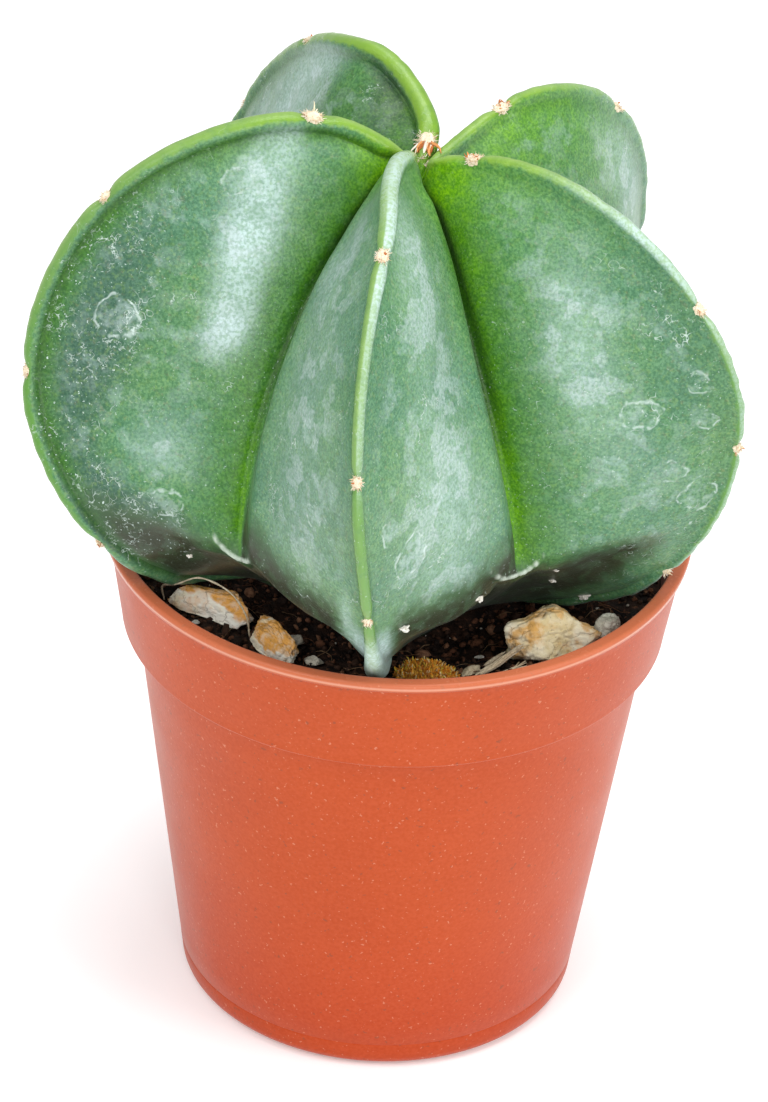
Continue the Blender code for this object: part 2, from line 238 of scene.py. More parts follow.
def make_pot_material():
    material, tree, shader = new_material("terracotta_plastic", Specular_IOR_Level=0.2,
                                          Sheen_Weight=0.1, Sheen_Roughness=0.4)
    height = height_of(tree)
    colour = blend(tree, blotches(tree, 22, 0.5, 0.25), (0.375, 0.046, 0.003),
                   (0.415, 0.055, 0.004))
    low = ramp(tree, height, 30 * MM, 2 * MM)
    colour = blend(tree, product(tree, low, 0.6), colour, (0.38, 0.034, 0.003))
    grain = blotches(tree, 0.42, 0.5, 0.2, 2.0)
    colour = blend(tree, product(tree, grain, 0.2), colour, (0.6, 0.11, 0.035))
    dust = product(tree, blotches(tree, 0.42, 0.0, 0.03, 1.0, 3.0), 0.35)
    colour = blend(tree, dust, colour, (0.66, 0.34, 0.22))
    specks = product(tree, blotches(tree, 0.6, 0.01, 0.015, 1.0, 7.0), 0.6)
    colour = blend(tree, specks, colour, (0.2, 0.05, 0.02))
    rim = ramp(tree, height, (POT_H - 1.3) * MM, (POT_H - 0.6) * MM)
    colour = blend(tree, product(tree, rim, 0.6), colour, (0.52, 0.17, 0.085))
    # a thin dark band just under the lip: a painted shadow
    lip_shadow = product(tree, ramp(tree, height, (POT_H - 1.45) * MM, (POT_H - 1.1) * MM),
                        ramp(tree, height, (POT_H - 0.9) * MM, (POT_H - 1.05) * MM))
    colour = blend(tree, product(tree, lip_shadow, 0.7), colour, (0.25, 0.025, 0.004))
    # a pale line along the lip's outer curve: a painted highlight
    edge_wear_and_lip_highlight = product(tree, ramp(tree, height, (POT_H - 0.85) * MM, (POT_H - 0.7) * MM),
                   ramp(tree, height, (POT_H - 0.35) * MM, (POT_H - 0.55) * MM))
    colour = blend(tree, product(tree, edge_wear_and_lip_highlight, 0.42), colour, (0.72, 0.4, 0.28))
    tree.links.new(colour, shader.inputs["Base Color"])
    rough = ramp(tree, blotches(tree, 9, 0.5, 0.3, 5.0, 2.0), 0.0, 1.0, 0.36, 0.46)
    rough = calc(tree, "SUBTRACT", rough, product(tree, rim, 0.16))
    tree.links.new(rough, shader.inputs["Roughness"])
    fine = blotches(tree, 0.3, detail=2.0, output="Relief")
    relief(tree, shader, fine, 0.018)
    return material


def make_pot():
    """The pot, with every edge eased as a mould leaves it."""
    lip_z = POT_H - LIP_H
    inner_r = RIM_R - LIP_W
    inner_floor_r = BODY_LOW_R - WALL
    lean = (BODY_TOP_R - BODY_LOW_R) / (COLLAR_Z - BASE_ROUND)
    line_r = BODY_LOW_R + lean * (PARTING_Z - BASE_ROUND)
    profile = [(0.0, FLOOR_T)]
    profile += along_line((0.0, FLOOR_T), (inner_floor_r - BASE_ROUND, FLOOR_T), 12)
    profile += arc(inner_floor_r - 1.2, FLOOR_T + 1.2, 1.2, -90, 0, 6)
    profile += [(BODY_TOP_R - WALL - 0.1, COLLAR_Z + 0.4), (BODY_TOP_R - WALL + 0.2, COLLAR_Z + 0.85)]
    profile += [(COLLAR_LOW_R - WALL - 0.3, COLLAR_Z + 0.95), (COLLAR_LOW_R - WALL, COLLAR_Z + 1.3)]
    profile += along_line((COLLAR_LOW_R - WALL, COLLAR_Z + 1.3), (inner_r, lip_z - 0.3), 8)
    profile += [(inner_r, lip_z - 0.3)]
    profile += arc(inner_r + 0.35, POT_H - 0.35, 0.35, 180, 90, 5)
    profile += arc(RIM_R - LIP_ROUND, POT_H - LIP_ROUND, LIP_ROUND, 90, -20, 8)
    profile += arc(RIM_R - 0.3, lip_z + 0.12, 0.2, -20, -80, 3)
    profile += [(COLLAR_TOP_R + 0.12, lip_z - 0.12), (COLLAR_TOP_R - 0.02, lip_z - 0.4)]
    profile += along_line((COLLAR_TOP_R - 0.02, lip_z - 0.4), (COLLAR_LOW_R, COLLAR_Z + 0.5), 10)
    profile += arc(COLLAR_LOW_R - 0.4, COLLAR_Z + 0.4, 0.4, 5, -85, 5)
    profile += [(BODY_TOP_R + 0.3, COLLAR_Z), (BODY_TOP_R + 0.06, COLLAR_Z - 0.12)]
    profile += [(BODY_TOP_R - 0.05, COLLAR_Z - 0.5)]
    profile += along_line((BODY_TOP_R - 0.05, COLLAR_Z - 0.5), (line_r + 0.02, PARTING_Z + 0.2), 16)
    profile += [(line_r + 0.02, PARTING_Z + 0.2), (line_r - 0.08, PARTING_Z)]
    profile += [(line_r - 0.02, PARTING_Z - 0.2)]
    profile += arc(BODY_LOW_R - BASE_ROUND, BASE_ROUND, BASE_ROUND, 0, -90, 10)
    profile += along_line((BODY_LOW_R - BASE_ROUND, 0.0), (0.0, 0.0), 12)
    profile += [(0.0, 0.0)]
    pot = turn_profile("nursery_pot", profile, POT_STEPS)
    cutters = bmesh.new()
    for i in range(HOLES):
        a = 2 * math.pi * (i + 0.5) / HOLES
        spot = Matrix.Translation((HOLE_RING_R * MM * math.cos(a), HOLE_RING_R * MM * math.sin(a), 0))
        bmesh.ops.create_cone(cutters, cap_ends=True, segments=48, radius1=HOLE_R * MM,
                              radius2=HOLE_R * MM, depth=4 * FLOOR_T * MM, matrix=spot)
    punch = new_piece("punch", cutters)
    cut = pot.modifiers.new("drain holes", "BOOLEAN")
    cut.object = punch
    cut.operation = "DIFFERENCE"
    graph = bpy.context.evaluated_depsgraph_get()
    done = bpy.data.meshes.new_from_object(pot.evaluated_get(graph))
    pot.modifiers.clear()
    pot.data = done
    bpy.data.objects.remove(punch)
    pot.data.set_sharp_from_angle(angle=math.radians(40))
    fit(pot, "terracotta_plastic", make_pot_material(), "pot")


make_pot()


# ---------------------------------------------------------------------------------------
# Peat. The pot is filled with a dark peat and coir mix, dished under the plant, whose top
# is a rough dark crust. It fills the pot as one solid, with a hole for the root neck.
SOIL_TOP = ((29.5, 52.6), (28.6, 53.3), (26.8, 53.5), (24.2, 53.3), (21.8, 52.7), (19.4, 51.9),
            (16.5, 51.2), (12.8, 50.8))
SOIL_EDGE_R = 29.4
SOIL_NECK_R = 8.9
SOIL_PIT = (7.2, 43.9)             # radius and floor height of the root neck's hole
SOIL_LUMP = 0.35
SOIL_LUMP_SIZE = 6.0
SOIL_SIDES = 300
SOIL_RINGS = 62


def soil_level(x, y):
    """Height of the peat at a point, in mm, without its crust."""
    r = math.hypot(x, y)
    z = SOIL_TOP[-1][1] if r < SOIL_TOP[-1][0] else SOIL_TOP[0][1]
    for (outer, outer_z), (inner, inner_z) in zip(SOIL_TOP, SOIL_TOP[1:]):
        if inner <= r <= outer:
            z = inner_z + (outer_z - inner_z) * (r - inner) / (outer - inner)
    fade = min(1.0, max(0.0, (r - SOIL_TOP[-1][0]) / 4), max(0.0, SOIL_TOP[0][0] - r))
    return z + SOIL_LUMP * fade * noise.noise(Vector((x, y, 0.0)) / SOIL_LUMP_SIZE)


def soil_crust(x, y):
    """Height of the crumbly top over the peat's level, in mm."""
    r = math.hypot(x, y)
    fade = min(1.0, max(0.0, (r - SOIL_NECK_R) / 3), max(0.0, (SOIL_TOP[0][0] - r) / 0.5))
    clods = noise.fractal(Vector((x, y, 3.0)) / 2.6, 0.9, 2.2, 4)
    grains = noise.noise(Vector((x, y, 8.0)) / 0.45)
    return fade * (0.5 * clods + 0.16 * grains)


def own_tint(tree):
    """The colour painted on each crumb, hair or strand."""
    return add(tree, "Attribute", attribute_name="tint").outputs["Color"]


def make_peat_material(name, tint):
    material, tree, shader = new_material(name, Specular_IOR_Level=0.25)
    colour = blend(tree, blotches(tree, 1.6, 0.5, 0.12, 5.0), (0.006, 0.0035, 0.0025),
                   (0.036, 0.017, 0.01))
    colour = blend(tree, blotches(tree, 0.7, 0.2, 0.05, 3.0, 4.0), colour, (0.12, 0.05, 0.026))
    if tint:
        colour = blend(tree, 0.85, colour, own_tint(tree))
        colour = blend(tree, blotches(tree, 0.4, 0.5, 0.2), colour, (0.5, 0.45, 0.4), "MULTIPLY")
    tree.links.new(colour, shader.inputs["Base Color"])
    rough = ramp(tree, blotches(tree, 1.1, 0.4, 0.1), 0.0, 1.0, 0.95, 0.7)
    tree.links.new(rough, shader.inputs["Roughness"])
    relief(tree, shader, blotches(tree, 0.35, detail=4.0, output="Relief"), 0.22)
    return material


def bridge(bm, first, second):
    """A closed band of faces between two rings of points."""
    faces = []
    for j in range(len(first)):
        k = (j + 1) % len(first)
        faces.append(bm.faces.new((first[j], second[j], second[k], first[k])))
    return faces


def make_soil():
    """The peat as a closed solid: crusted top, sides that clear the pot, flat underside."""
    bm = bmesh.new()
    side = [(COLLAR_LOW_R - WALL - 0.3, COLLAR_Z + 1.6), (BODY_TOP_R - WALL - 0.4, COLLAR_Z + 0.9),
            (BODY_LOW_R - WALL - 0.3, FLOOR_T + 2.0), (BODY_LOW_R - WALL - 1.9, FLOOR_T + 0.3)]
    span = SOIL_EDGE_R - SOIL_NECK_R
    radii = [SOIL_NECK_R + span * (i / SOIL_RINGS) for i in range(SOIL_RINGS + 1)]
    rings = []
    for r in radii:
        ring = []
        for j in range(SOIL_SIDES):
            a = 2 * math.pi * j / SOIL_SIDES
            x, y = r * math.cos(a), r * math.sin(a)
            ring.append(bm.verts.new((x * MM, y * MM, (soil_level(x, y) + soil_crust(x, y)) * MM)))
        rings.append(ring)
    for r, z in side:
        turns = [2 * math.pi * j / SOIL_SIDES for j in range(SOIL_SIDES)]
        rings.append([bm.verts.new((r * math.cos(a) * MM, r * math.sin(a) * MM, z * MM)) for a in turns])
    for inner, outer in zip(rings, rings[1:]):
        bridge(bm, inner, outer)
    pit_r, pit_z = SOIL_PIT
    reach = pit_r / SOIL_NECK_R
    pit = [bm.verts.new((top.co.x * reach, top.co.y * reach, pit_z * MM)) for top in rings[0]]
    bridge(bm, pit, rings[0])
    for ring, z in ((pit, pit_z), (rings[-1], FLOOR_T + 0.3)):
        middle = bm.verts.new((0, 0, z * MM))
        for j in range(SOIL_SIDES):
            bm.faces.new((middle, ring[j], ring[(j + 1) % SOIL_SIDES]))
    bmesh.ops.recalc_face_normals(bm, faces=bm.faces)
    soil = new_piece("peat_fill", bm)
    fit(soil, "peat", make_peat_material("peat", tint=False), "potting_soil")


make_soil()


# ---------------------------------------------------------------------------------------
# Cactus. One grown body of five broad ribs round a sunken crown, on a root neck that stands in
# the peat. Each rib has a rolled crest and two flanks that meet the next rib's in a crease. The
# skin is waxy green under white bloom, yellow-green where it is young and scarred by rubbing;
# its colour also carries painted shade in the creases and under the flanks, and painted highlight.
AXIS_X = 0.3
CROWN_Z = 103.4
PIT_Z = 102.2
Rib = namedtuple("Rib", "heading turn curl lean shoulder widest foot square roll")
# heading at the base, then turn at the top, curl at the rim and lean at the crown, in
# degrees; (radius, height) of shoulder, widest point and foot; and how square the outline is
# up to the shoulder, down to the widest point and down to the foot; last, the half width of
# the rolled crest near the crown, lower down and at the foot, and how narrow it is behind
RIBS = {
    "front": Rib(266.0, -4.5, 0, -14, (12.0, 109.2), (39.6, 81.8), (18.0, 52.1),
                 (2.2, 1.85, 1.75), (1.0, 0.62, 1.2, 0.93)),
    "right": Rib(341.0, -8, -2, 0, (12.4, 108.7), (39.1, 84.4), (12.2, 52.1), (1.6, 1.9, 2.1),
                 (0.8, 0.62, 0.7, 1.06)),
    "back_right": Rib(412.0, -8, 0, 0, (13.2, 108.0), (37.9, 76.7), (18.0, 52.9),
                      (1.1, 2.2, 1.8), (0.8, 0.65, 0.7, 1.05)),
    "back_left": Rib(484.0, -8, 0, -36, (15.0, 110.7), (42.8, 86.4), (18.5, 52.2),
                     (1.0, 1.5, 1.6), (1.3, 0.95, 0.9, 0.82)),
    "left": Rib(558.5, -8, 10, 0, (12.7, 111.6), (42.7, 80.1), (15.7, 54.3), (1.45, 2.0, 1.85),
                (1.05, 0.95, 0.9, 0.8)),
}
# the crease past each rib: (radius, height) at the crown and at its end above the peat
CREASES = {
    "front": ((0.9, 101.0), (23.4, 66.0)),
    "right": ((0.9, 102.5), (24.6, 66.5)),
    "back_right": ((0.9, 102.5), (24.2, 66.0)),
    "back_left": ((0.9, 103.0), (25.4, 67.0)),
    "left": ((0.9, 103.8), (26.8, 67.0)),
}
CREASE_TURN = -8
CREASE_FOOT = (11.0, 53.0)
CREASE_END = 2.5                   # how far down the outline a crease ends
FIRST_T = 0.24
SKIN_ROWS = 244
SHOULDER_PASSES = 90               # how thoroughly a rib's shoulder is rounded
SHOULDER_START = {"back_left": 0.42}   # where along the outline that rounding sets in
PLAIN_START = 0.62
ROLL_DEEP = 1.81                   # from the crest in to the groove behind, in half widths
ROLL_POINTS = 7
FLANK_POINTS = 25
SWELL = 0.9                        # how far a flank swells off its chord
ROOT_NECK = ((10.0, 52.3), (9.4, 51.7), (8.3, 50.6), (7.2, 47.0), (6.6, 44.5))
# distance along each rib's outline (0 crown, 1 shoulder, 2 widest point, 3 foot) and radius
# of each tuft of wool, which sits in a notch of the crest
AREOLES = {
    "front": ((1.27, 1.2), (1.83, 0.95), (2.3, 0.8)),
    "right": ((0.62, 1.3), (1.62, 1.1), (2.08, 0.9), (2.5, 0.8)),
    "back_right": ((0.8, 1.3), (1.45, 1.1), (1.95, 0.9), (2.4, 0.8)),
    "back_left": ((0.35, 1.6), (1.4, 1.2), (1.85, 1.0), (2.25, 0.8)),
    "left": ((0.88, 1.5), (1.5, 1.05), (1.95, 0.95), (2.42, 0.8)),
}
NOTCH_DEEP = 0.55                  # how deep a tuft's notch is, for a tuft 1 mm in radius
NOTCH_LONG = 1.35                  # and how far it reaches, in mm
# below this line a flank tucks under: how far the line climbs on its way out to the crest
TUCK_RISE = {"front": -3.4, "right": 2.0, "back_right": 2.0, "back_left": 2.4, "left": 3.2}
TUCK_DEEP = 1.6
# painted shade beneath each flank where it tucks under: from how far below that line it fades in,
# and where it is full; then from how far off the crest it fades in, and where it is full, in mm
TUCK_SHADE_REACH = {("front", -1): (-9.5, -2.2, 3.8, 6.8), ("front", 1): (-8.6, -2.0, 2.4, 5.5),
            ("right", -1): (-2.8, 3.0, 2.4, 7.5), ("left", 1): (-4.2, 4.2, 1.0, 4.5)}
PLAIN_TUCK_SHADE = (-3.6, 8.0, 2.0, 9.0)
CREASE_PINCH = 0.8                 # how far the flanks press in beside a crease
FULL_FRONT = 0.7                   # the front rib's flanks are this much fuller there instead
# how wide and how strongly each flank is painted deep green beside its crease, as shade down in
# the crease; the front rib stands forward, so bloom covers it nearly to the crease
DEEP_GREEN_SHADE = {("left", 1): (10.0, 1.0), ("right", -1): (9.0, 1.0), ("front", -1): (1.0, 0.3),
              ("front", 1): (1.0, 0.3), ("back_left", 1): (26.0, 1.0), ("back_left", -1): (26.0, 0.9)}
PLAIN_DEEP_SHADE = (5.0, 0.9)
# how strongly a band of deep green is painted as shade in the groove behind each rolled crest
DEEP_SHADE_BAND = {"front": 0.0, "right": 0.15, "back_right": 0.3, "back_left": 0.4, "left": 0.9}
# from how far off the crest, in mm, its lighter edge fades in, and where it is full
EDGES = {"front": (2.0, 0.5), "right": (1.5, 0.3), "back_right": (1.5, 0.3), "back_left": (1.9, 0.9),
         "left": (1.7, 0.7)}
# how pale with bloom and painted highlight each crest is; the front one is paler near the crown and at its
# foot
PALE_CREST = {"right": 0.9, "back_right": 0.4, "back_left": 0.0, "left": 0.05}
# patches of white bloom on each flank, some of them painted highlight, such as the sheen band
# on the left flank: (place along the outline, distance from the crease, spread along, spread
# across, strength); a negative strength is a patch of painted shade, and a darker one below -1
BLOOM_AND_LIGHT = {
    ("left", 1): ((1.13, 12.5, 0.2, 3.4, 0.62), (1.36, 9.0, 0.18, 3.0, 0.88), (1.6, 7.2, 0.13, 2.6, 0.9),
                  (2.1, 11.5, 0.18, 6.0, 0.6), (1.85, 20.5, 0.45, 6.0, -0.8), (2.36, 14.5, 0.17, 8.0, -1.6)),
    ("right", -1): ((1.45, 14.0, 0.25, 4.5, 0.28), (1.62, 10.5, 0.3, 3.6, 0.32), (2.0, 14.0, 0.3, 5.0, 0.25),
                    (1.75, 22.0, 0.5, 4.0, -0.3), (1.2, 4.0, 0.4, 2.5, -0.5)),
    ("front", -1): ((1.8, 11.0, 0.6, 8.0, 0.42), (1.2, 6.0, 0.3, 4.0, 0.4)),
    ("front", 1): ((2.05, 12.0, 0.4, 9.0, 0.5), (1.5, 9.0, 0.4, 6.0, 0.2), (1.2, 14.0, 0.3, 5.0, 0.5)),
    ("back_left", 1): ((1.45, 17.0, 0.4, 6.0, 0.75), (0.72, 9.0, 0.3, 7.0, -1.6)),
    ("back_right", -1): ((1.65, 18.0, 0.3, 5.0, 0.5), (1.0, 9.0, 0.25, 5.0, -0.2)),
}
PLAIN_BLOOM_AND_LIGHT = ((1.5, 11.0, 0.4, 5.0, 0.5), (2.0, 9.0, 0.3, 4.0, 0.4), (1.8, 20.0, 0.4, 5.0, -0.4))
# patches of fresh yellow-green skin, laid out in the same way
FRESH = {
    ("right", -1): ((0.4, 4.0, 0.45, 7.0, 1.0), (1.1, 2.5, 0.35, 4.0, 0.5), (1.7, 0.5, 0.3, 2.2, 0.5),
                    (2.2, 0.0, 0.35, 1.7, 1.0), (1.0, 12.0, 0.3, 6.0, 0.4)),
    ("left", 1): ((0.4, 3.0, 0.4, 5.0, 0.9), (2.2, 0.0, 0.3, 1.5, 0.9)),
    ("back_right", -1): ((0.9, 8.0, 0.4, 9.0, 0.85), (1.25, 16.0, 0.3, 5.0, 0.4)),
    ("back_left", 1): ((0.45, 9.0, 0.3, 3.0, 0.2),),
    ("front", 1): ((0.6, 2.0, 0.4, 5.0, 0.5), (1.3, 16.0, 0.3, 4.0, 0.25)),
}
PLAIN_FRESH = ((0.4, 4.0, 0.4, 5.0, 0.9), (1.2, 0.0, 0.5, 2.0, 0.5))
# the corky lip at the end of a crease: how far it reaches along each flank, in mm, and how
# steeply it climbs there
LIPS = {("left", 1): (5.6, 0.24), ("front", -1): (2.6, 0.3), ("front", 1): (7.2, 0.11),
        ("right", -1): (4.4, 0.26)}
PLAIN_LIP = (3.0, 0.2)
# how strongly each rib's crest ripples between its notches
RIPPLE = {"front": 0.1, "right": 0.3, "back_right": 0.2, "back_left": 0.2, "left": 0.16}


def ease(value, start, end):
    """0 at the start value and 1 at the end value, turning smoothly between."""
    t = min(max((value - start) / (end - start), 0.0), 1.0)
    return t * t * (3 - 2 * t)


def hump(value, middle, width):
    """1 at the middle, falling away like a bell on both sides."""
    return math.exp(-((value - middle) / width) ** 2)


def quarter(t, square):
    """(sine, cosine) of a quarter turn, t from 0 to 1, squared off or slackened."""
    a = math.pi * t / 2
    return abs(math.sin(a)) ** (2 / square), abs(math.cos(a)) ** (2 / square)


def outline(rib, t):
    """A rib's outline: (radius, height) at t, from 0 at the crown to 3 at the foot."""
    s, c = quarter(t % 1 if t < 3 else 1, rib.square[min(int(t), 2)])
    shoulder, widest, foot = rib.shoulder, rib.widest, rib.foot
    if t < 1:
        return shoulder[0] * (1 - c), CROWN_Z + (shoulder[1] - CROWN_Z) * s
    if t < 2:
        r = shoulder[0] + (widest[0] - shoulder[0]) * s
        return r, widest[1] + (shoulder[1] - widest[1]) * c
    return foot[0] + (widest[0] - foot[0]) * c, foot[1] + (widest[1] - foot[1]) * (1 - s)


def on_plant(degrees, r, z):
    """A point of the plant, in mm, at a bearing from its axis."""
    a = math.radians(degrees)
    return Vector((AXIS_X + r * math.cos(a), r * math.sin(a), z))


def crest_point(rib, t):
    """A point on the top line of a rib's crest."""
    r, z = outline(rib, t)
    curl = ease(z, 84.0, 62.0) * ease(z, 53.0, 58.5)
    bearing = rib.heading + rib.turn * ease(z, 60.0, 105.0)
    return on_plant(bearing + rib.curl * curl + rib.lean * ease(r, 20.0, 3.0), r, z)


def crease_point(heading, rib_name, t):
    """A point of the crease past a rib, in step with the crest."""
    start, end = CREASES[rib_name]
    if t <= CREASE_END:
        s, c = quarter((t / CREASE_END) ** 1.4, 1.5)
        r = start[0] + (end[0] - start[0]) * s
        z = end[1] + (start[1] - end[1]) * c
    else:
        s, c = quarter((t - CREASE_END) / (3 - CREASE_END), 1.15)
        r = CREASE_FOOT[0] + (end[0] - CREASE_FOOT[0]) * c
        z = CREASE_FOOT[1] + (end[1] - CREASE_FOOT[1]) * (1 - s)
    return on_plant(heading + CREASE_TURN * ease(z, 60.0, 105.0), r, z)


def crest_frame(rib, t):
    """Crest point, direction along the rib, direction out of it, and direction across."""
    point = crest_point(rib, t)
    along = crest_point(rib, min(t + 0.02, 3.0)) - crest_point(rib, max(t - 0.02, 0.01))
    along.normalize()
    a = math.atan2(point.y, point.x - AXIS_X)
    across = Vector((-math.sin(a), math.cos(a), 0.0))
    out = along.cross(across).normalized()
    if out.dot(point - Vector((AXIS_X, 0.0, 80.0))) < 0:
        out.negate()
    return point, along, out, across


def half_rib(rib, side, crease, t):
    """Points from beside the crest down one flank to beside the crease."""
    point, along, out, across = crest_frame(rib, t)
    wide, narrow, blunt, neck = rib.roll
    width = wide + (narrow - wide) * ease(t, 1.05, 1.6) + (blunt - narrow) * ease(t, 2.3, 2.75)
    width *= min(1.0, math.hypot(point.x - AXIS_X, point.y) / 3.5)
    across = across * side
    roll = []
    for i in range(1, ROLL_POINTS + 1):
        a = math.pi / 2 * i / ROLL_POINTS
        roll.append((1 - math.cos(a), math.sin(a)))
    roll += [(1.27, 0.15 * neck + 0.85), (1.55, 0.5 * neck + 0.5), (ROLL_DEEP, neck)]
    points = [point - out * inward * width + across * apart * width for inward, apart in roll]
    groove = points[-1]
    chord = crease - groove
    normal = along.cross(chord).normalized()
    if normal.dot(across) < 0:
        normal.negate()
    swell = SWELL * min(1.0, chord.length / 20)
    for i in range(1, FLANK_POINTS + 1):
        s = i / (FLANK_POINTS + 1)
        s -= 0.045 * math.sin(2 * math.pi * s) + 0.01 * math.sin(4 * math.pi * s)
        points.append(groove + chord * s + normal * swell * math.sin(math.pi * s ** 1.4))
    return points


def even_rows(count):
    """Places along the outline that space the rows evenly, on average over the ribs."""
    fine = [FIRST_T + (3 - FIRST_T) * i / 1200 for i in range(1201)]
    walked = [0.0]
    for a, b in zip(fine, fine[1:]):
        steps = [(crest_point(rib, b) - crest_point(rib, a)).length for rib in RIBS.values()]
        walked.append(walked[-1] + sum(steps) / len(steps))
    wanted = np.linspace(0, walked[-1], count)
    return [float(t) for t in np.interp(wanted, walked, fine)]


def skin_columns():
    """(rib name, side, step) of each column: side -1, 0 or 1, and step from the crest."""
    half = ROLL_POINTS + 3 + FLANK_POINTS
    columns = []
    for name in RIBS:
        columns.append((name, -1, half + 1))
        columns += [(name, -1, i) for i in range(half, 0, -1)]
        columns.append((name, 0, 0))
        columns += [(name, 1, i) for i in range(1, half + 1)]
    return columns


def skin_grid(rows):
    """The plant's surface before its finer relief: (row, column, xyz) in mm."""
    names = list(RIBS)
    headings = [rib.heading for rib in RIBS.values()]
    headings = [headings[-1] - 360] + headings + [headings[0] + 360]
    creases = [(a + b) / 2 for a, b in zip(headings, headings[1:])]
    grid = []
    for t in rows:
        row = []
        for k, (name, rib) in enumerate(RIBS.items()):
            before = crease_point(creases[k], names[k - 1], t)
            after = crease_point(creases[k + 1], name, t)
            row.append(before)
            row += reversed(half_rib(rib, -1, before, t))
            row.append(crest_point(rib, t))
            row += half_rib(rib, 1, after, t)
        grid.append(row)
    return np.array([[tuple(p) for p in row] for row in grid])


def ease_kinks(grid, rows, columns):
    """Rounds each line of the skin where a rib's outline turns at its shoulder."""
    starts = [SHOULDER_START.get(column[0], PLAIN_START) for column in columns]
    share = np.array([
        [0.5 * ease(t, start, start + 0.2) * ease(t, 1.45, 1.2) for start in starts] for t in rows
    ])
    share = share[1:-1, :, None]
    for _ in range(SHOULDER_PASSES):
        grid[1:-1] += share * (0.5 * (grid[:-2] + grid[2:]) - grid[1:-1])
    return grid


def grid_normals(grid):
    """Outward directions of a grid that closes round its columns."""
    across = np.roll(grid, -1, axis=1) - np.roll(grid, 1, axis=1)
    along = np.gradient(grid, axis=0)
    normals = np.cross(across, along)
    normals /= np.maximum(np.linalg.norm(normals, axis=2, keepdims=True), 1e-9)
    outward = grid - np.array((AXIS_X, 0.0, 80.0))
    if (normals * outward).sum() < 0:
        normals = -normals
    return normals


def walk_columns(grid, columns):
    """Distance in mm over the skin from the nearest crest, and to the nearest crease."""
    steps = np.linalg.norm(np.roll(grid, -1, axis=1) - grid, axis=2)
    count = len(columns)
    from_crest = np.zeros(grid.shape[:2])
    from_crease = np.zeros(grid.shape[:2])
    crests = [i for i, column in enumerate(columns) if column[1] == 0]
    half = max(column[2] for column in columns)
    for crest in crests:
        for side in (-1, 1):
            walked = np.zeros(grid.shape[0])
            passed = [crest]
            for i in range(half):
                here = (crest + side * i) % count
                edge = here if side > 0 else (here - 1) % count
                walked = walked + steps[:, edge]
                passed.append((here + side) % count)
                from_crest[:, passed[-1]] = walked
            for column in passed[:-1] if side > 0 else passed[1:]:
                from_crease[:, column] = walked - from_crest[:, column]
            from_crest[:, passed[-1]] = walked
    return from_crest, from_crease


def skin_relief(t, place, column, crest_mm, crease_mm):
    """How far the skin stands off its plain surface, in mm: notches, lobes and dimples."""
    name = column[0]
    point = Vector(place)
    crest = hump(crest_mm, 0.0, 2.6)
    height = 0.0
    for spot, radius in AREOLES[name]:
        apart = (point - AREOLE_SPOTS[name, spot]).length
        height -= NOTCH_DEEP * radius * hump(apart, 0.0, NOTCH_LONG)
    ripple = noise.noise(Vector((t * 14, len(name), 0.0)))
    ripple += 0.6 * noise.noise(Vector((t * 31, 4.0, len(name))))
    low = ease(t, 1.2, 2.2)
    height += RIPPLE[name] * (0.35 + 0.65 * low) * ripple * crest
    flank = ease(crest_mm, 1.5, 6.0) * ease(crease_mm, 0.0, 5.0)
    height += 0.42 * flank * noise.noise(point / 9.0)
    height += 0.13 * flank * noise.noise(point / 3.4 + Vector((5, 0, 0)))
    height += 0.035 * flank * noise.noise(point / 1.2)
    if name == "front":
        beside = FULL_FRONT * hump(crease_mm, 2.4, 1.7)
    else:
        beside = -CREASE_PINCH * hump(crease_mm, 0.0, 1.3)
    height += beside * ease(t, 2.5, 2.3) * ease(t, 0.3, 0.7)
    return height


AREOLE_SPOTS = {(name, t): crest_point(RIBS[name], t) for name in AREOLES for t, _ in AREOLES[name]}


def lip_line(rib_name, z, crease_mm, lip):
    """(lip, undercut) at the corky lip where a crease ends, each from 0 to 1."""
    end_z = CREASES[rib_name][1][1]
    reach, climb = lip
    above = (z - (end_z - 0.3 + climb * crease_mm ** 2)) / math.hypot(1.0, 2 * climb * crease_mm)
    near = ease(crease_mm, reach, 0.35 * reach)
    return hump(above, 0.0, 0.37) * near, hump(above, -1.05, 0.5) * near


def past_tuck(rib_name, crease_name, z, crease_mm):
    """How far below the line where its flank tucks under a point lies, in mm."""
    line = CREASES[crease_name][1][1] - 0.2 + TUCK_RISE[rib_name] * ease(crease_mm, 0.0, 10.0)
    return line - z


def patchwork(patches, t, crease_mm):
    """The patches' strength at a place on a flank, added together."""
    return sum(p[4] * hump(t, p[0], p[2]) * hump(crease_mm, p[1], p[3]) for p in patches)


def bloom_and_light_at(column, t, crest_mm, crease_mm):
    """How pale with bloom and painted highlight, or dark with painted shade, the skin is, from 1 to -1.6."""
    name, side, _ = column
    total = patchwork(BLOOM_AND_LIGHT.get((name, side), PLAIN_BLOOM_AND_LIGHT), t, crease_mm)
    total *= ease(t, 0.35, 0.7) if total > 0 else 1.0
    start, full = EDGES[name]
    if name != "front":
        pale = PALE_CREST[name] * ease(t, 0.9, 1.5)
    else:
        pale = 0.85 * ease(t, 0.15, 0.9) - 0.45 * ease(t, 1.3, 1.6) - 0.3 * ease(t, 1.8, 1.95)
        pale *= 0.15 + 0.7 * ease(t, 1.3, 0.9) if side < 0 else 1.0
        pale = max(pale, 0.85 * ease(t, 2.32, 2.46))
        total = max(total, 0.8 * ease(t, 2.32, 2.46) * ease(crest_mm, 5.0, 3.0))
        if side < 0:
            total = max(total, 0.5 * ease(t, 2.15, 2.35) * hump(crest_mm, 4.2, 1.4))
    if name == "right":
        thin = 1.0 - 0.5 * ease(t, 1.35, 1.75)
        start, full, pale = start * thin, full * thin, pale * thin
    total += (pale - total) * ease(crest_mm, start + 0.1, full + 0.3)
    return min(1.0, max(-1.6, total))


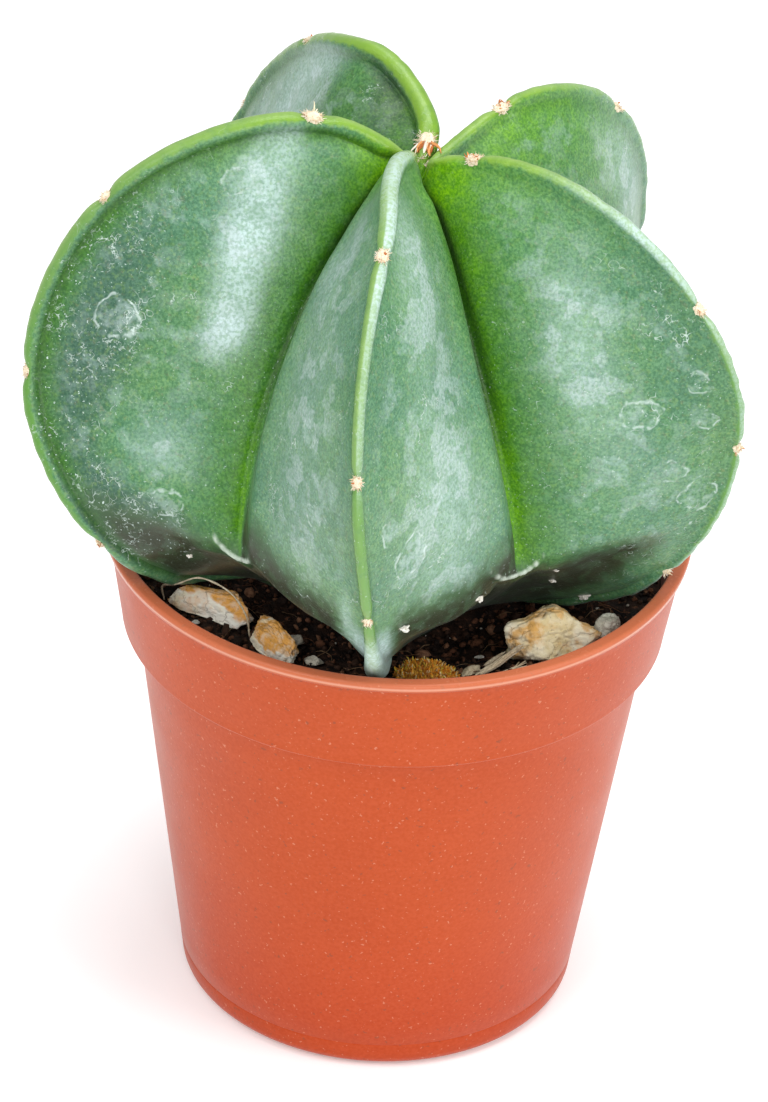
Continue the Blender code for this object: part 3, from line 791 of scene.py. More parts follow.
def deep_shade_at(column, t, crest_mm, crease_mm):
    """How deep a green the skin is painted as shade: beside a crease, and in a band behind the crest."""
    name, side, _ = column
    width, strength = DEEP_GREEN_SHADE.get((name, side), PLAIN_DEEP_SHADE)
    beside = strength * ease(crease_mm, width, 0.3)
    band = DEEP_SHADE_BAND[name] * ease(crest_mm, 1.3, 2.2) * ease(crest_mm, 5.5, 2.4)
    if (name, side) == ("front", -1):
        band = 0.75 * hump(crest_mm, 1.3, 0.7) * ease(t, 1.1, 1.4) * ease(t, 2.7, 2.4)
    if (name, side) == ("front", 1):
        beside = max(beside, 0.9 * hump(t, 1.1, 0.3) * ease(crease_mm, 4.6, 3.2))
    return max(beside, band)


def shade_at(column, t, crest_mm, crease_mm):
    """Painted shade: dark lines down in a crease, and in the groove behind a rolled crest."""
    name = column[0]
    crease = 0.5 * ease(crease_mm, 0.5, 0.0) if name == "front" else ease(crease_mm, 2.2, 0.1)
    return max(crease * ease(t, 2.05, 1.6), 0.8 * DEEP_SHADE_BAND[name] * hump(crest_mm, 2.3, 0.6))


def skin_values(column, t, crest_mm, crease_mm):
    """What the skin's finish follows at a point, apart from cork and the painted shade under the tuck."""
    name = column[0]
    fresh = patchwork(FRESH.get(column[:2], PLAIN_FRESH), t, crease_mm)
    return {
        "from_crest": crest_mm,
        "from_crease": crease_mm,
        "growth": t,
        "bloom_and_painted_light": bloom_and_light_at(column, t, crest_mm, crease_mm),
        "deep_green_shade": deep_shade_at(column, t, crest_mm, crease_mm),
        "shade": shade_at(column, t, crest_mm, crease_mm),
        "edge": ease(crest_mm, *EDGES[name]) * (1.0 if name == "front" else ease(t, 2.55, 2.25)),
        "fresh": min(1.0, fresh),
    }


# finish values in the crown's pit, painted deep green as shade, and on the root neck, painted shade all over
CROWN_SKIN = {"from_crest": 3.0, "from_crease": 1.0, "deep_green_shade": 0.7, "fresh": 1.0}
NECK_SKIN = {"from_crest": 9.0, "from_crease": 9.0, "growth": 3.0, "painted_under_shade": 1.0}


def make_cactus():
    """The skin grid with its relief, closed at the crown's pit and under the root neck."""
    rows = even_rows(SKIN_ROWS)
    columns = skin_columns()
    names = list(RIBS)
    plain = ease_kinks(skin_grid(rows), rows, columns)
    from_crest, from_crease = walk_columns(plain, columns)
    normals = grid_normals(plain)
    raised = np.zeros(plain.shape[:2])
    cork = np.zeros(plain.shape[:2])
    painted_under_shade = np.zeros(plain.shape[:2])
    for i, t in enumerate(rows):
        for j, column in enumerate(columns):
            crest_mm, crease_mm = from_crest[i, j], from_crease[i, j]
            raised[i, j] = skin_relief(t, plain[i, j], column, crest_mm, crease_mm)
            crease = names[names.index(column[0]) - (1 if column[1] < 0 else 0)]
            below = past_tuck(column[0], crease, plain[i, j][2], crease_mm)
            hollow = ease(below, -1.5, 4.5) * ease(crest_mm, 2.5, 9.0) * ease(crease_mm, 0.0, 3.0)
            raised[i, j] -= TUCK_DEEP * hollow
            # painted shade below the line where the flank tucks under
            reach = TUCK_SHADE_REACH.get(column[:2], PLAIN_TUCK_SHADE)
            painted_under_shade[i, j] = ease(below, *reach[:2]) * ease(crest_mm, *reach[2:])
            lip = LIPS.get(column[:2], PLAIN_LIP)
            if 2.0 < t < 2.75 and crease_mm < lip[0]:
                cork[i, j], hollow = lip_line(crease, plain[i, j][2], crease_mm, lip)
                raised[i, j] += 0.45 * cork[i, j] - 0.4 * hollow
    settle = np.clip((3.0 - np.array(rows)) / 0.25, 0, 1) * np.clip((np.array(rows) - FIRST_T) / 0.1, 0, 1)
    grid = plain + normals * (raised * settle[:, None])[:, :, None]

    bm = bmesh.new()
    labels = ("from_crest", "from_crease", "growth", "cork", "painted_under_shade", "bloom_and_painted_light", "deep_green_shade", "shade", "edge",
              "fresh")
    layers = {label: bm.verts.layers.float.new(label) for label in labels}

    def new_vert(place, values):
        vert = bm.verts.new(Vector(place) * MM)
        for label, value in values.items():
            vert[layers[label]] = value
        return vert

    net = []
    for i, t in enumerate(rows):
        row = []
        for j, column in enumerate(columns):
            values = skin_values(column, t, from_crest[i, j], from_crease[i, j])
            row.append(new_vert(grid[i, j], values | {"cork": cork[i, j], "painted_under_shade": painted_under_shade[i, j]}))
        net.append(row)
    count = len(columns)
    bearings = [math.atan2(p[1], p[0] - AXIS_X) for p in grid[-1]]
    for r, z in ROOT_NECK:
        net.append([new_vert(on_plant(math.degrees(a), r, z), NECK_SKIN) for a in bearings])
    for upper, lower in zip(net, net[1:]):
        bridge(bm, upper, lower)
    inner = net[0]
    for share in (0.66, 0.33):
        ring = []
        for j in range(count):
            x, y, z = grid[0, j]
            low = PIT_Z - 0.9 * (1 - share)
            ring.append(new_vert((AXIS_X + (x - AXIS_X) * share, y * share, low + (z - low) * share ** 2),
                                 CROWN_SKIN))
        bridge(bm, ring, inner)
        inner = ring
    middle = new_vert((AXIS_X, 0.0, PIT_Z - 0.9), CROWN_SKIN)
    foot = new_vert((AXIS_X, 0.0, ROOT_NECK[-1][1]), NECK_SKIN)
    for j in range(count):
        bm.faces.new((middle, inner[j], inner[(j + 1) % count]))
        bm.faces.new((foot, net[-1][(j + 1) % count], net[-1][j]))
    bmesh.ops.recalc_face_normals(bm, faces=bm.faces)
    return new_piece("cactus_skin", bm)


def make_threads():
    """Thin broken lines that run round cells of a size in mm."""
    inputs = {"Size": 3.0, "Width": 0.03, "Wander": 0.3, "Seed": 0.0}
    tree, given, out = effect("threads", inputs, ("Mask",))
    place = object_place(tree, given.outputs["Size"])
    sway = add(tree, "TexNoise", {"Vector": place, "Scale": 2.5, "Detail": 2.0}).outputs["Color"]
    sway = add(tree, "VectorMath", {0: sway, "Scale": given.outputs["Wander"]},
               operation="SCALE").outputs[0]
    bent = add(tree, "VectorMath", {0: place, 1: sway}, operation="ADD").outputs[0]
    shift = add(tree, "CombineXYZ", {"X": given.outputs["Seed"]}).outputs[0]
    bent = add(tree, "VectorMath", {0: bent, 1: shift}, operation="ADD").outputs[0]
    edge = add(tree, "TexVoronoi", {"Vector": bent, "Scale": 1.0}, feature="DISTANCE_TO_EDGE")
    mask = ramp(tree, edge.outputs["Distance"], given.outputs["Width"], 0.0)
    tree.links.new(mask, out.inputs["Mask"])
    return tree


THREADS = make_threads()


def threads(tree, size, width, wander=0.3, seed=0.0):
    """The threads effect in a material."""
    group = add(tree, "Group", node_tree=THREADS)
    for label, value in zip(("Size", "Width", "Wander", "Seed"), (size, width, wander, seed)):
        group.inputs[label].default_value = value
    return group.outputs["Mask"]


def value_of(tree, name):
    """A value kept at each point of the skin."""
    return add(tree, "Attribute", attribute_name=name).outputs["Fac"]


def flank_spot(name, side, t, share):
    """A point on a rib's flank, part of the way from its crest to its crease."""
    names = list(RIBS)
    headings = [rib.heading for rib in RIBS.values()]
    k = names.index(name)
    if side > 0:
        turn = headings[k + 1] if k + 1 < len(names) else headings[0] + 360
        crease = crease_point((headings[k] + turn) / 2, name, t)
    else:
        turn = headings[k - 1] if k > 0 else headings[-1] - 360
        crease = crease_point((headings[k] + turn) / 2, names[k - 1], t)
    points = half_rib(RIBS[name], side, crease, t)
    first = ROLL_POINTS + 3
    return points[first + round(share * (FLANK_POINTS - 1))]


# scars that grew as rings, whole or in part: (rib, side, place along the outline, share of
# the way from crest to crease, radius in mm, strength)
RING_SCARS = (
    ("left", 1, 1.74, 0.3, 2.5, 0.5), ("right", -1, 1.88, 0.36, 1.7, 0.5),
    ("right", -1, 1.97, 0.11, 1.1, 0.45), ("right", -1, 1.84, 0.14, 1.5, 0.35),
    ("right", -1, 2.2, 0.14, 2.1, 0.5), ("right", -1, 2.1, 0.3, 1.5, 0.4),
    ("front", 1, 2.14, 0.28, 2.4, 0.6), ("front", 1, 2.02, 0.16, 1.1, 0.5),
    ("front", -1, 1.78, 0.45, 1.4, 0.5), ("front", -1, 2.04, 0.38, 1.2, 0.5),
    ("left", 1, 2.24, 0.55, 1.8, 0.5), ("left", 1, 1.24, 0.3, 1.3, 0.45),
)
RING_THICK = 0.26
RING_SWAY = 1.7                    # how far a ring strays from a round one, in mm


def ring_scars(tree):
    """(haze inside the rings, their raised corky edges), for the whole skin."""
    place = add(tree, "TexCoord").outputs["Object"]
    sway = add(tree, "TexNoise", {"Vector": place, "Scale": 330.0, "Detail": 3.0}).outputs["Color"]
    sway = add(tree, "VectorMath", {0: sway, "Scale": 2 * RING_SWAY * MM}, operation="SCALE").outputs[0]
    place = add(tree, "VectorMath", {0: place, 1: sway}, operation="ADD").outputs[0]
    shift = Vector((1, 1, 1)) * RING_SWAY
    haze = rings = None
    for name, side, t, share, size, strength in RING_SCARS:
        spot = flank_spot(name, side, t, share) + shift
        apart = add(tree, "VectorMath", {0: place, 1: tuple(spot * MM)}, operation="DISTANCE")
        apart = apart.outputs["Value"]
        patch = product(tree, ramp(tree, apart, size * MM, 0.7 * size * MM), strength)
        off = calc(tree, "ABSOLUTE", calc(tree, "SUBTRACT", apart, size * MM))
        ring = product(tree, ramp(tree, off, RING_THICK * MM, 0.0), strength)
        if rings is None:
            haze, rings = patch, ring
        else:
            haze = calc(tree, "MAXIMUM", haze, patch)
            rings = calc(tree, "MAXIMUM", rings, ring)
    return haze, product(tree, rings, blotches(tree, 1.3, 0.48, 0.08, 3.0, 72.0))


def make_skin_material():
    material, tree, shader = new_material("cactus_skin", Specular_IOR_Level=0.3, Sheen_Weight=0.03,
                                          Sheen_Roughness=0.5)
    crest = value_of(tree, "from_crest")
    crease = value_of(tree, "from_crease")
    growth = value_of(tree, "growth")

    # body colour: blue-green, warmer in large soft areas, darkened by painted shade in the dull patches
    colour = blend(tree, blotches(tree, 11, 0.5, 0.2, 3.0), (0.098, 0.238, 0.132), (0.144, 0.3, 0.122))
    painted_dull_shade = ramp(tree, value_of(tree, "bloom_and_painted_light"), 0.0, -0.8)
    colour = blend(tree, painted_dull_shade, colour, (0.068, 0.15, 0.1))
    # dark: deeper painted shade where the patches fall below -0.8
    dark = ramp(tree, value_of(tree, "bloom_and_painted_light"), -0.8, -1.5)
    colour = blend(tree, dark, colour, (0.034, 0.08, 0.05))

    # warm and brown specks, then deep green painted as shade beside the creases, fresh yellow-green
    # by the crown and dark grooves of painted shade
    warm = blotches(tree, 0.5, 0.3, 0.1, 2.0, 8.0)
    colour = blend(tree, product(tree, warm, 0.35), colour, (0.21, 0.33, 0.08))
    brown = blotches(tree, 0.55, 0.17, 0.06, 2.0, 12.0)
    colour = blend(tree, product(tree, brown, 0.35), colour, (0.22, 0.2, 0.11))
    mottled = ramp(tree, blotches(tree, 1.5, 0.5, 0.1, 4.0, 5.0), 0.0, 1.0, 0.75, 1.0)
    deep_green_shade = product(tree, value_of(tree, "deep_green_shade"), mottled, ramp(tree, growth, 2.7, 2.2, 0.3, 1.0))
    deep_green_shade = product(tree, deep_green_shade, ramp(tree, dark, 0.0, 1.0, 1.0, 0.5))
    colour = blend(tree, deep_green_shade, colour, (0.055, 0.185, 0.008))
    newest = blend(tree, ramp(tree, growth, 1.1, 0.4), (0.14, 0.36, 0.002), (0.23, 0.5, 0.002))
    colour = blend(tree, product(tree, value_of(tree, "fresh"), mottled), colour, newest)
    colour = blend(tree, product(tree, value_of(tree, "shade"), 0.85), colour, (0.02, 0.085, 0.003))

    # mottling and a fine speckle over all of it
    mottle = product(tree, blotches(tree, 1.2, 0.5, 0.09, 4.0, 17.0), 0.6)
    colour = blend(tree, mottle, colour, (0.68, 0.8, 0.76), "MULTIPLY")
    fine = blotches(tree, 0.3, 0.5, 0.12, 3.0, 1.0)
    colour = blend(tree, product(tree, fine, 0.8), colour, (0.38, 0.56, 0.52), "MULTIPLY")

    # the crest's edge, lighter, and yellow-green where the skin is young, with a painted highlight along its
    # top line
    ragged = ramp(tree, blotches(tree, 1.4, detail=4.0, output="Relief"), 0.3, 0.7, -0.3, 0.3)
    edge = ramp(tree, calc(tree, "ADD", value_of(tree, "edge"), ragged), 0.15, 0.95)
    edge_colour = blend(tree, ramp(tree, growth, 0.9, 1.6), (0.2, 0.36, 0.03), (0.135, 0.27, 0.06))
    edge_colour = blend(tree, ramp(tree, growth, 1.72, 1.9), edge_colour, (0.1, 0.25, 0.04))
    # tip: a painted highlight down the crest's top line
    tip = product(tree, ramp(tree, crest, 0.8, 0.1), ramp(tree, growth, 1.9, 1.7, 0.25, 0.5))
    edge_colour = blend(tree, tip, edge_colour, (0.31, 0.46, 0.14))
    edge_colour = blend(tree, product(tree, blotches(tree, 1.6, 0.4, 0.15, 3.0, 80.0), 0.4),
                        edge_colour, (0.11, 0.24, 0.045))
    colour = blend(tree, product(tree, edge, 0.9), colour, edge_colour)

    # white bloom, a fine dust rubbed off in places, with painted highlight in it such as the left flank's
    # sheen band
    bloom_and_painted_light = ramp(tree, value_of(tree, "bloom_and_painted_light"), 0.0, 1.0)
    rubbed = ramp(tree, blotches(tree, 6, 0.5, 0.3, 4.0, 20.0), 0.0, 1.0, 0.72, 1.0)
    grit = ramp(tree, blotches(tree, 0.36, 0.5, 0.2, 3.0, 31.0), 0.0, 1.0, 0.45, 1.0)
    colour = blend(tree, product(tree, bloom_and_painted_light, rubbed, grit), colour, (0.51, 0.65, 0.65))
    open_flank = product(tree, ramp(tree, crest, 1.5, 7.0), ramp(tree, crease, 2.5, 10.0))
    streak = product(tree, blotches(tree, 2.6, 0.3, 0.05, 5.0, 40.0), open_flank)
    colour = blend(tree, product(tree, streak, grit, 0.25), colour, (0.42, 0.56, 0.54))
    smear = product(tree, blotches(tree, 3.6, 0.42, 0.02, 2.0, 90.0), open_flank,
                    ramp(tree, value_of(tree, "bloom_and_painted_light"), 0.05, 0.5, 0.1, 0.42))
    colour = blend(tree, product(tree, smear, grit), colour, (0.53, 0.61, 0.64))
    bare = product(tree, blotches(tree, 3.6, 0.4, 0.05, 4.0, 95.0), open_flank, bloom_and_painted_light, 0.5)
    colour = blend(tree, bare, colour, (0.12, 0.25, 0.14))

    # painted shade underneath, where the flanks tuck under: deep green, then nearly brown down by the peat
    tuck_shade = value_of(tree, "painted_under_shade")
    patchy = ramp(tree, blotches(tree, 1.8, 0.5, 0.12, 5.0, 15.0), 0.0, 1.0, 0.5, 1.0)
    colour = blend(tree, product(tree, ramp(tree, tuck_shade, 0.0, 0.5), patchy, 0.92), colour, (0.04, 0.095, 0.035))
    colour = blend(tree, product(tree, ramp(tree, tuck_shade, 0.4, 1.0), ramp(tree, patchy, 0.4, 0.8, 0.7, 1.0)),
                   colour, (0.027, 0.036, 0.017))

    # scars: threads and rings of pale cork, white flecks, and the lips at the creases' ends
    low = ramp(tree, growth, 1.15, 1.75, 0.2, 1.0)
    clear = ramp(tree, crease, 3.0, 6.0)
    scar = product(tree, threads(tree, 4.4, 0.022, 1.2, 3.0), blotches(tree, 7, 0.32, 0.05, 3.0, 50.0))
    scar = product(tree, scar, blotches(tree, 1.5, 0.5, 0.06, 2.0, 53.0), clear, low)
    rough_patch = product(tree, threads(tree, 2.1, 0.05, 1.4, 8.0), blotches(tree, 0.9, 0.5, 0.05, 2.0, 55.0),
                          blotches(tree, 5, 0.4, 0.05, 3.0, 57.0), ramp(tree, painted_dull_shade, 0.25, 0.7))
    scar = calc(tree, "MAXIMUM", scar, product(tree, rough_patch, clear))
    colour = blend(tree, product(tree, scar, 0.7), colour, (0.6, 0.72, 0.66))
    flecks = product(tree, blotches(tree, 0.32, 0.06, 0.03, 2.0, 60.0), low,
                     ramp(tree, painted_dull_shade, 0.0, 0.6, 0.35, 0.75))
    colour = blend(tree, flecks, colour, (0.62, 0.74, 0.7))
    haze, rings = ring_scars(tree)
    haze = product(tree, haze, blotches(tree, 1.1, 0.45, 0.1, 4.0, 70.0), 0.5)
    colour = blend(tree, haze, colour, (0.53, 0.64, 0.64))
    colour = blend(tree, rings, colour, (0.62, 0.73, 0.7))
    cork = product(tree, ramp(tree, value_of(tree, "cork"), 0.3, 0.85),
                   ramp(tree, blotches(tree, 0.7, 0.5, 0.2, 3.0, 75.0), 0.0, 1.0, 0.7, 1.0))
    colour = blend(tree, product(tree, cork, 0.85), colour, (0.56, 0.64, 0.54))
    tree.links.new(colour, shader.inputs["Base Color"])

    rough = ramp(tree, product(tree, bloom_and_painted_light, grit), 0.0, 0.8, 0.34, 0.52)
    rough = calc(tree, "SUBTRACT", rough, product(tree, edge, 0.12))
    tree.links.new(rough, shader.inputs["Roughness"])
    pores = relief(tree, shader, blotches(tree, 0.33, detail=3.0, output="Relief"), 0.06)
    relief(tree, shader, calc(tree, "MAXIMUM", scar, rings), 0.05, pores)
    return material


cactus = make_cactus()
fit(cactus, "cactus_skin", make_skin_material(), "cactus_body")


# ---------------------------------------------------------------------------------------
# Areoles. Tufts of cream wool that grow from the notches of the crests, with rust-brown
# dried flakes and, on one of them, a thin curved spine. Five small buds of wool stand in
# the crown's pit. Each tuft is one piece, rooted just under the skin.
WOOL = ((0.86, 0.77, 0.6), (0.93, 0.88, 0.78), (0.78, 0.62, 0.42))
RUST = ((0.5, 0.17, 0.05), (0.72, 0.33, 0.12), (0.32, 0.12, 0.05))
BIG_TUFT = ("back_left", 0.35)     # its wool has dried into long splayed strips
SPINED_TUFT = ("left", 0.88)
FLAKY_TUFTS = {("right", 0.62): 30, ("back_right", 0.8): 16}
HAIRS = 170                        # on a tuft 1 mm in radius
PLAIN_FLAKES = 5
BIG_FLAKES = 30
BUD_HAIRS = 26
BUD_T = 0.27                       # where along a crest its bud stands


def paint(bm, faces, colour):
    """Writes a colour to the tint attribute at the corners of some faces."""
    layer = bm.loops.layers.float_color.get("tint") or bm.loops.layers.float_color.new("tint")
    for face in faces:
        for loop in face.loops:
            loop[layer] = (*colour, 1.0)


def add_strand(bm, points, radii, colour, sides=5, flat=1.0):
    """A thin closed tube in mm through some points, tapering from radius to radius."""
    points = [Vector(p) for p in points]
    rings = []
    for i, p in enumerate(points):
        along = (points[min(i + 1, len(points) - 1)] - points[max(i - 1, 0)]).normalized()
        side = along.cross(Vector((0.13, 0.2, 1.0))).normalized()
        up = side.cross(along)
        ring = []
        for j in range(sides):
            a = 2 * math.pi * j / sides
            ring.append(bm.verts.new((p + radii[i] * (side * math.cos(a) + up * flat * math.sin(a))) * MM))
        rings.append(ring)
    faces = []
    for lower, upper in zip(rings, rings[1:]):
        faces += bridge(bm, upper, lower)
    faces += [bm.faces.new(reversed(rings[0])), bm.faces.new(rings[-1])]
    paint(bm, faces, colour)


def make_wool_material():
    material, tree, shader = new_material("areole_wool", Roughness=0.8, Specular_IOR_Level=0.2)
    shade = product(tree, blotches(tree, 0.5, 0.5, 0.2, 3.0), 0.45)
    colour = blend(tree, shade, own_tint(tree), (0.68, 0.56, 0.42), "MULTIPLY")
    tree.links.new(colour, shader.inputs["Base Color"])
    relief(tree, shader, blotches(tree, 0.12, detail=2.0, output="Relief"), 0.03)
    return material


def bent_hair(chance, root, aim, length, droop, wave):
    """Points of a hair that leaves its root along aim and bends."""
    side = Vector((chance.uniform(-1, 1), chance.uniform(-1, 1), chance.uniform(-1, 1)))
    points = []
    for k in range(5):
        s = k / 4
        points.append(root + aim * length * s + side * wave * length * math.sin(2.6 * s) * s
                      - Vector((0, 0, droop)) * length * s * s)
    return points


def add_flake(bm, points, width, thick, colour, across):
    """A thin dried strip through some points, closed on all sides, twisting a little."""
    rings = []
    for k, p in enumerate(points):
        s = k / (len(points) - 1)
        along = (points[min(k + 1, len(points) - 1)] - points[max(k - 1, 0)]).normalized()
        side = (across - along * across.dot(along)).normalized()
        up = along.cross(side)
        wide = width * (1 - 0.75 * s ** 2) / 2
        corners = ((wide, 0.0), (0.0, thick), (-wide, 0.0), (0.0, -thick))
        rings.append([bm.verts.new((p + side * a + up * b) * MM) for a, b in corners])
        across = (side + up * 0.35).normalized()
    faces = [bm.faces.new(reversed(rings[0])), bm.faces.new(rings[-1])]
    for lower, upper in zip(rings, rings[1:]):
        faces += bridge(bm, upper, lower)
    paint(bm, faces, colour)


def make_tuft(name, t, radius, seed):
    """A tuft: a woolly cushion of fine hairs with flakes standing out of it."""
    chance = random.Random(seed)
    point, along, out, _ = crest_frame(RIBS[name], t)
    side = out.cross(along)
    base = point - out * (NOTCH_DEEP * radius + 0.1)
    bm = bmesh.new()
    frame_axes = Matrix((along, side, out)).transposed()
    cushion = bmesh.ops.create_icosphere(bm, subdivisions=4, radius=1.0)
    for v in cushion["verts"]:
        p = v.co.normalized()
        lump = 1 + 0.22 * noise.noise(p * 2.2 + Vector((seed, 0, 0))) + 0.12 * noise.noise(p * 6)
        local = Vector((p.x * 0.7, p.y * 0.52, p.z * 0.5)) * radius * lump
        v.co = (base + frame_axes @ local) * MM
    paint(bm, {f for v in cushion["verts"] for f in v.link_faces}, (0.84, 0.74, 0.57))
    big = (name, t) == BIG_TUFT
    for _ in range(round(HAIRS * radius)):
        spread = math.sqrt(chance.random())
        a = chance.uniform(0, 2 * math.pi)
        u, v = spread * math.cos(a), spread * math.sin(a)
        root = base + (along * u * 0.6 + side * v * 0.45) * radius + out * 0.1
        aim = (out * chance.uniform(0.3, 0.9) + along * u * 1.1 + side * v * 1.1).normalized()
        points = bent_hair(chance, root, aim, radius * chance.uniform(0.22, 0.52), 0.25, 0.8)
        thick = chance.uniform(0.035, 0.065)
        colour = chance.choice(WOOL if chance.random() < 0.93 else RUST)
        add_strand(bm, points, [thick * (1 - 0.2 * k) for k in range(5)], colour, sides=4)
    flakes = BIG_FLAKES if big else FLAKY_TUFTS.get((name, t), PLAIN_FLAKES)
    for _ in range(flakes):
        a = chance.uniform(0, 2 * math.pi)
        lean = chance.uniform(0.2, 1.3)
        aim = (out + (along * math.cos(a) + side * math.sin(a)) * lean).normalized()
        reach = chance.uniform(0.4, 0.85) * radius
        root = base + out * 0.15
        if big:
            strewn = chance.gauss(0, 0.7 if chance.random() < 0.2 else 0.28)
            aim = (out * 0.75 - along + side * strewn).normalized()
            reach = chance.uniform(1.2, 2.9)
            root += side * chance.uniform(-0.7, 0.7)
        elif (name, t) in FLAKY_TUFTS:
            root += along * chance.uniform(-0.6, 0.6) * radius
        points = bent_hair(chance, root, aim, reach, 0.25, 0.22)
        rusty = big or (name, t) in FLAKY_TUFTS
        colour = chance.choice(RUST[:2] * 2 + WOOL[:2] if rusty else RUST[:1] + WOOL)
        across = (along * math.sin(a) - side * math.cos(a)).normalized()
        add_flake(bm, points, chance.uniform(0.2, 0.46) * (1.6 if big else 1), 0.04, colour, across)
    if (name, t) == SPINED_TUFT:
        tip = base + out * 0.9 - side * 2.2 - along * 0.2
        spine = [base.lerp(tip, k / 8) + out * 0.5 * math.sin(math.pi * k / 8) for k in range(9)]
        add_strand(bm, spine, [0.12 * (1 - 0.1 * k) for k in range(9)], (0.78, 0.72, 0.5), sides=6)
    return new_piece(f"wool_{name}_{round(t * 100)}", bm)


def make_crown_wool():
    """Young buds of wool in the crown's pit."""
    chance = random.Random(77)
    bm = bmesh.new()
    for rib in RIBS.values():
        root = crest_point(rib, BUD_T).lerp(Vector((AXIS_X, 0.0, PIT_Z)), 0.3)
        for _ in range(BUD_HAIRS):
            aim = Vector((chance.uniform(-1, 1), chance.uniform(-1, 1), chance.uniform(0.4, 1.4)))
            points = bent_hair(chance, root, aim.normalized(), chance.uniform(0.25, 0.6), 0.0, 0.3)
            add_strand(bm, points, [0.035 * (1 - 0.2 * k) for k in range(5)], chance.choice(WOOL), 4)
    return new_piece("crown_wool", bm)


wool = make_wool_material()
seed = 0
for name, spots in AREOLES.items():
    for i, (t, radius) in enumerate(spots):
        seed += 1
        fit(make_tuft(name, t, radius, seed), "areole_wool", wool, f"areole_{name}_{i + 1}")
fit(make_crown_wool(), "areole_wool", wool)


# ---------------------------------------------------------------------------------------
# Grit. Broken bits of ochre limestone and grey chert that lie on the peat, shaped to it below.
# The ochre ones are cream where they are freshly broken and stained along their cracks.
# (x, y, length, width, height, turn in degrees, seed)
STONES = {
    "stone_left_long": (-19.4, -12.2, 9.4, 4.0, 4.6, -18, 3),
    "stone_left_short": (-12.7, -17.9, 7.6, 3.9, 4.4, -56, 8),
    "stone_right_big": (16.8, -15.2, 10.4, 6.4, 6.4, 12, 12),
    "stone_back_left": (-16.5, 17.8, 6.4, 4.2, 3.6, 130, 21),
    "stone_back_right": (22.6, 9.5, 6.0, 4.0, 3.8, 65, 23),
    "stone_grey_front": (-8.3, -19.6, 2.2, 1.6, 1.6, 10, 5),
    "stone_grey_left": (-10.4, -14.9, 2.0, 1.7, 1.5, 40, 6),
    "stone_right_small": (23.4, -12.4, 3.6, 2.8, 3.6, 50, 9),
    "stone_back": (8.6, 25.0, 5.2, 3.6, 3.2, 20, 22),
}
AMBER = ("stone_left_long", "stone_left_short")
OCHRE = ("stone_right_big", "stone_back_left", "stone_back_right")
SEAT = 0.45                        # what lies on the peat is kept clear of it by this much
LEAST_T = 0.1                      # and is at least this thick
BEDDED = 0.25                      # a stone's middle lies this much of its height above the peat
STONE_ROUGH = 0.2
BREAKS = 15                        # flat breaks that bound a stone
CAP_Z = (54.7, 55.4)               # a stain on the top fades in between these heights
CRUMB_ROUGH = 0.25


def lump_piece(name, spec, rough, detail, finer):
    """A rough ball, longer one way, bedded on the peat, with finer(p, seed) relief on it."""
    x, y, length, width, height, turn, seed = spec
    bm = bmesh.new()
    bmesh.ops.create_icosphere(bm, subdivisions=detail, radius=1.0)
    rotate = Matrix.Rotation(math.radians(turn), 3, "Z")
    bed = soil_level(x, y)
    for v in bm.verts:
        p = v.co.normalized()
        p *= 1 + rough * noise.noise(p * 1.3 + Vector((seed, 2 * seed, 0.0)))
        p *= 1 + finer(p, seed)
        p = rotate @ Vector((p.x * length / 2, p.y * width / 2, p.z * height / 2))
        z = bed + BEDDED * height + p.z
        least = soil_level(x + p.x, y + p.y) + SEAT + (LEAST_T if p.z > 0 else 0.0)
        v.co = Vector((x + p.x, y + p.y, max(z, least))) * MM
    return new_piece(name, bm)


def break_faces(seed):
    """Directions and distances of the flat breaks that bound a stone of radius 1."""
    chance = random.Random(seed)
    faces = []
    for _ in range(BREAKS):
        aim = Vector((chance.gauss(0, 1), chance.gauss(0, 1), chance.gauss(0, 1))).normalized()
        faces.append((aim, chance.uniform(0.76, 1.0)))
    return faces


STONE_FACES = {spec[-1]: break_faces(spec[-1]) for spec in STONES.values()}


def broken(p, seed):
    """Flat breaks that meet at worn edges, with chips and pits, over a stone's radius."""
    aim = p.normalized()
    reaches = [far / max(aim.dot(face), 0.3) for face, far in STONE_FACES[seed]]
    nearest, second = sorted(reaches)[:2]
    edge_wear_and_lip_highlight = 0.05 * hump(second - nearest, 0.0, 0.05)
    cells = noise.voronoi(p * 2.6 + Vector((seed * 1.7, 0, seed)))[0]
    ledge = min(cells[1] - cells[0], 0.22) - 0.11
    chips = noise.noise(p * 6.5 + Vector((0, seed, 0)))
    pits = -max(0.0, noise.noise(p * 11 + Vector((seed, 0, 0))) - 0.25)
    grain = noise.noise(p * 21)
    fine = 0.14 * ledge + 0.04 * chips + 0.12 * pits + 0.014 * grain
    return min(nearest, 1.12) - 1 - edge_wear_and_lip_highlight + fine


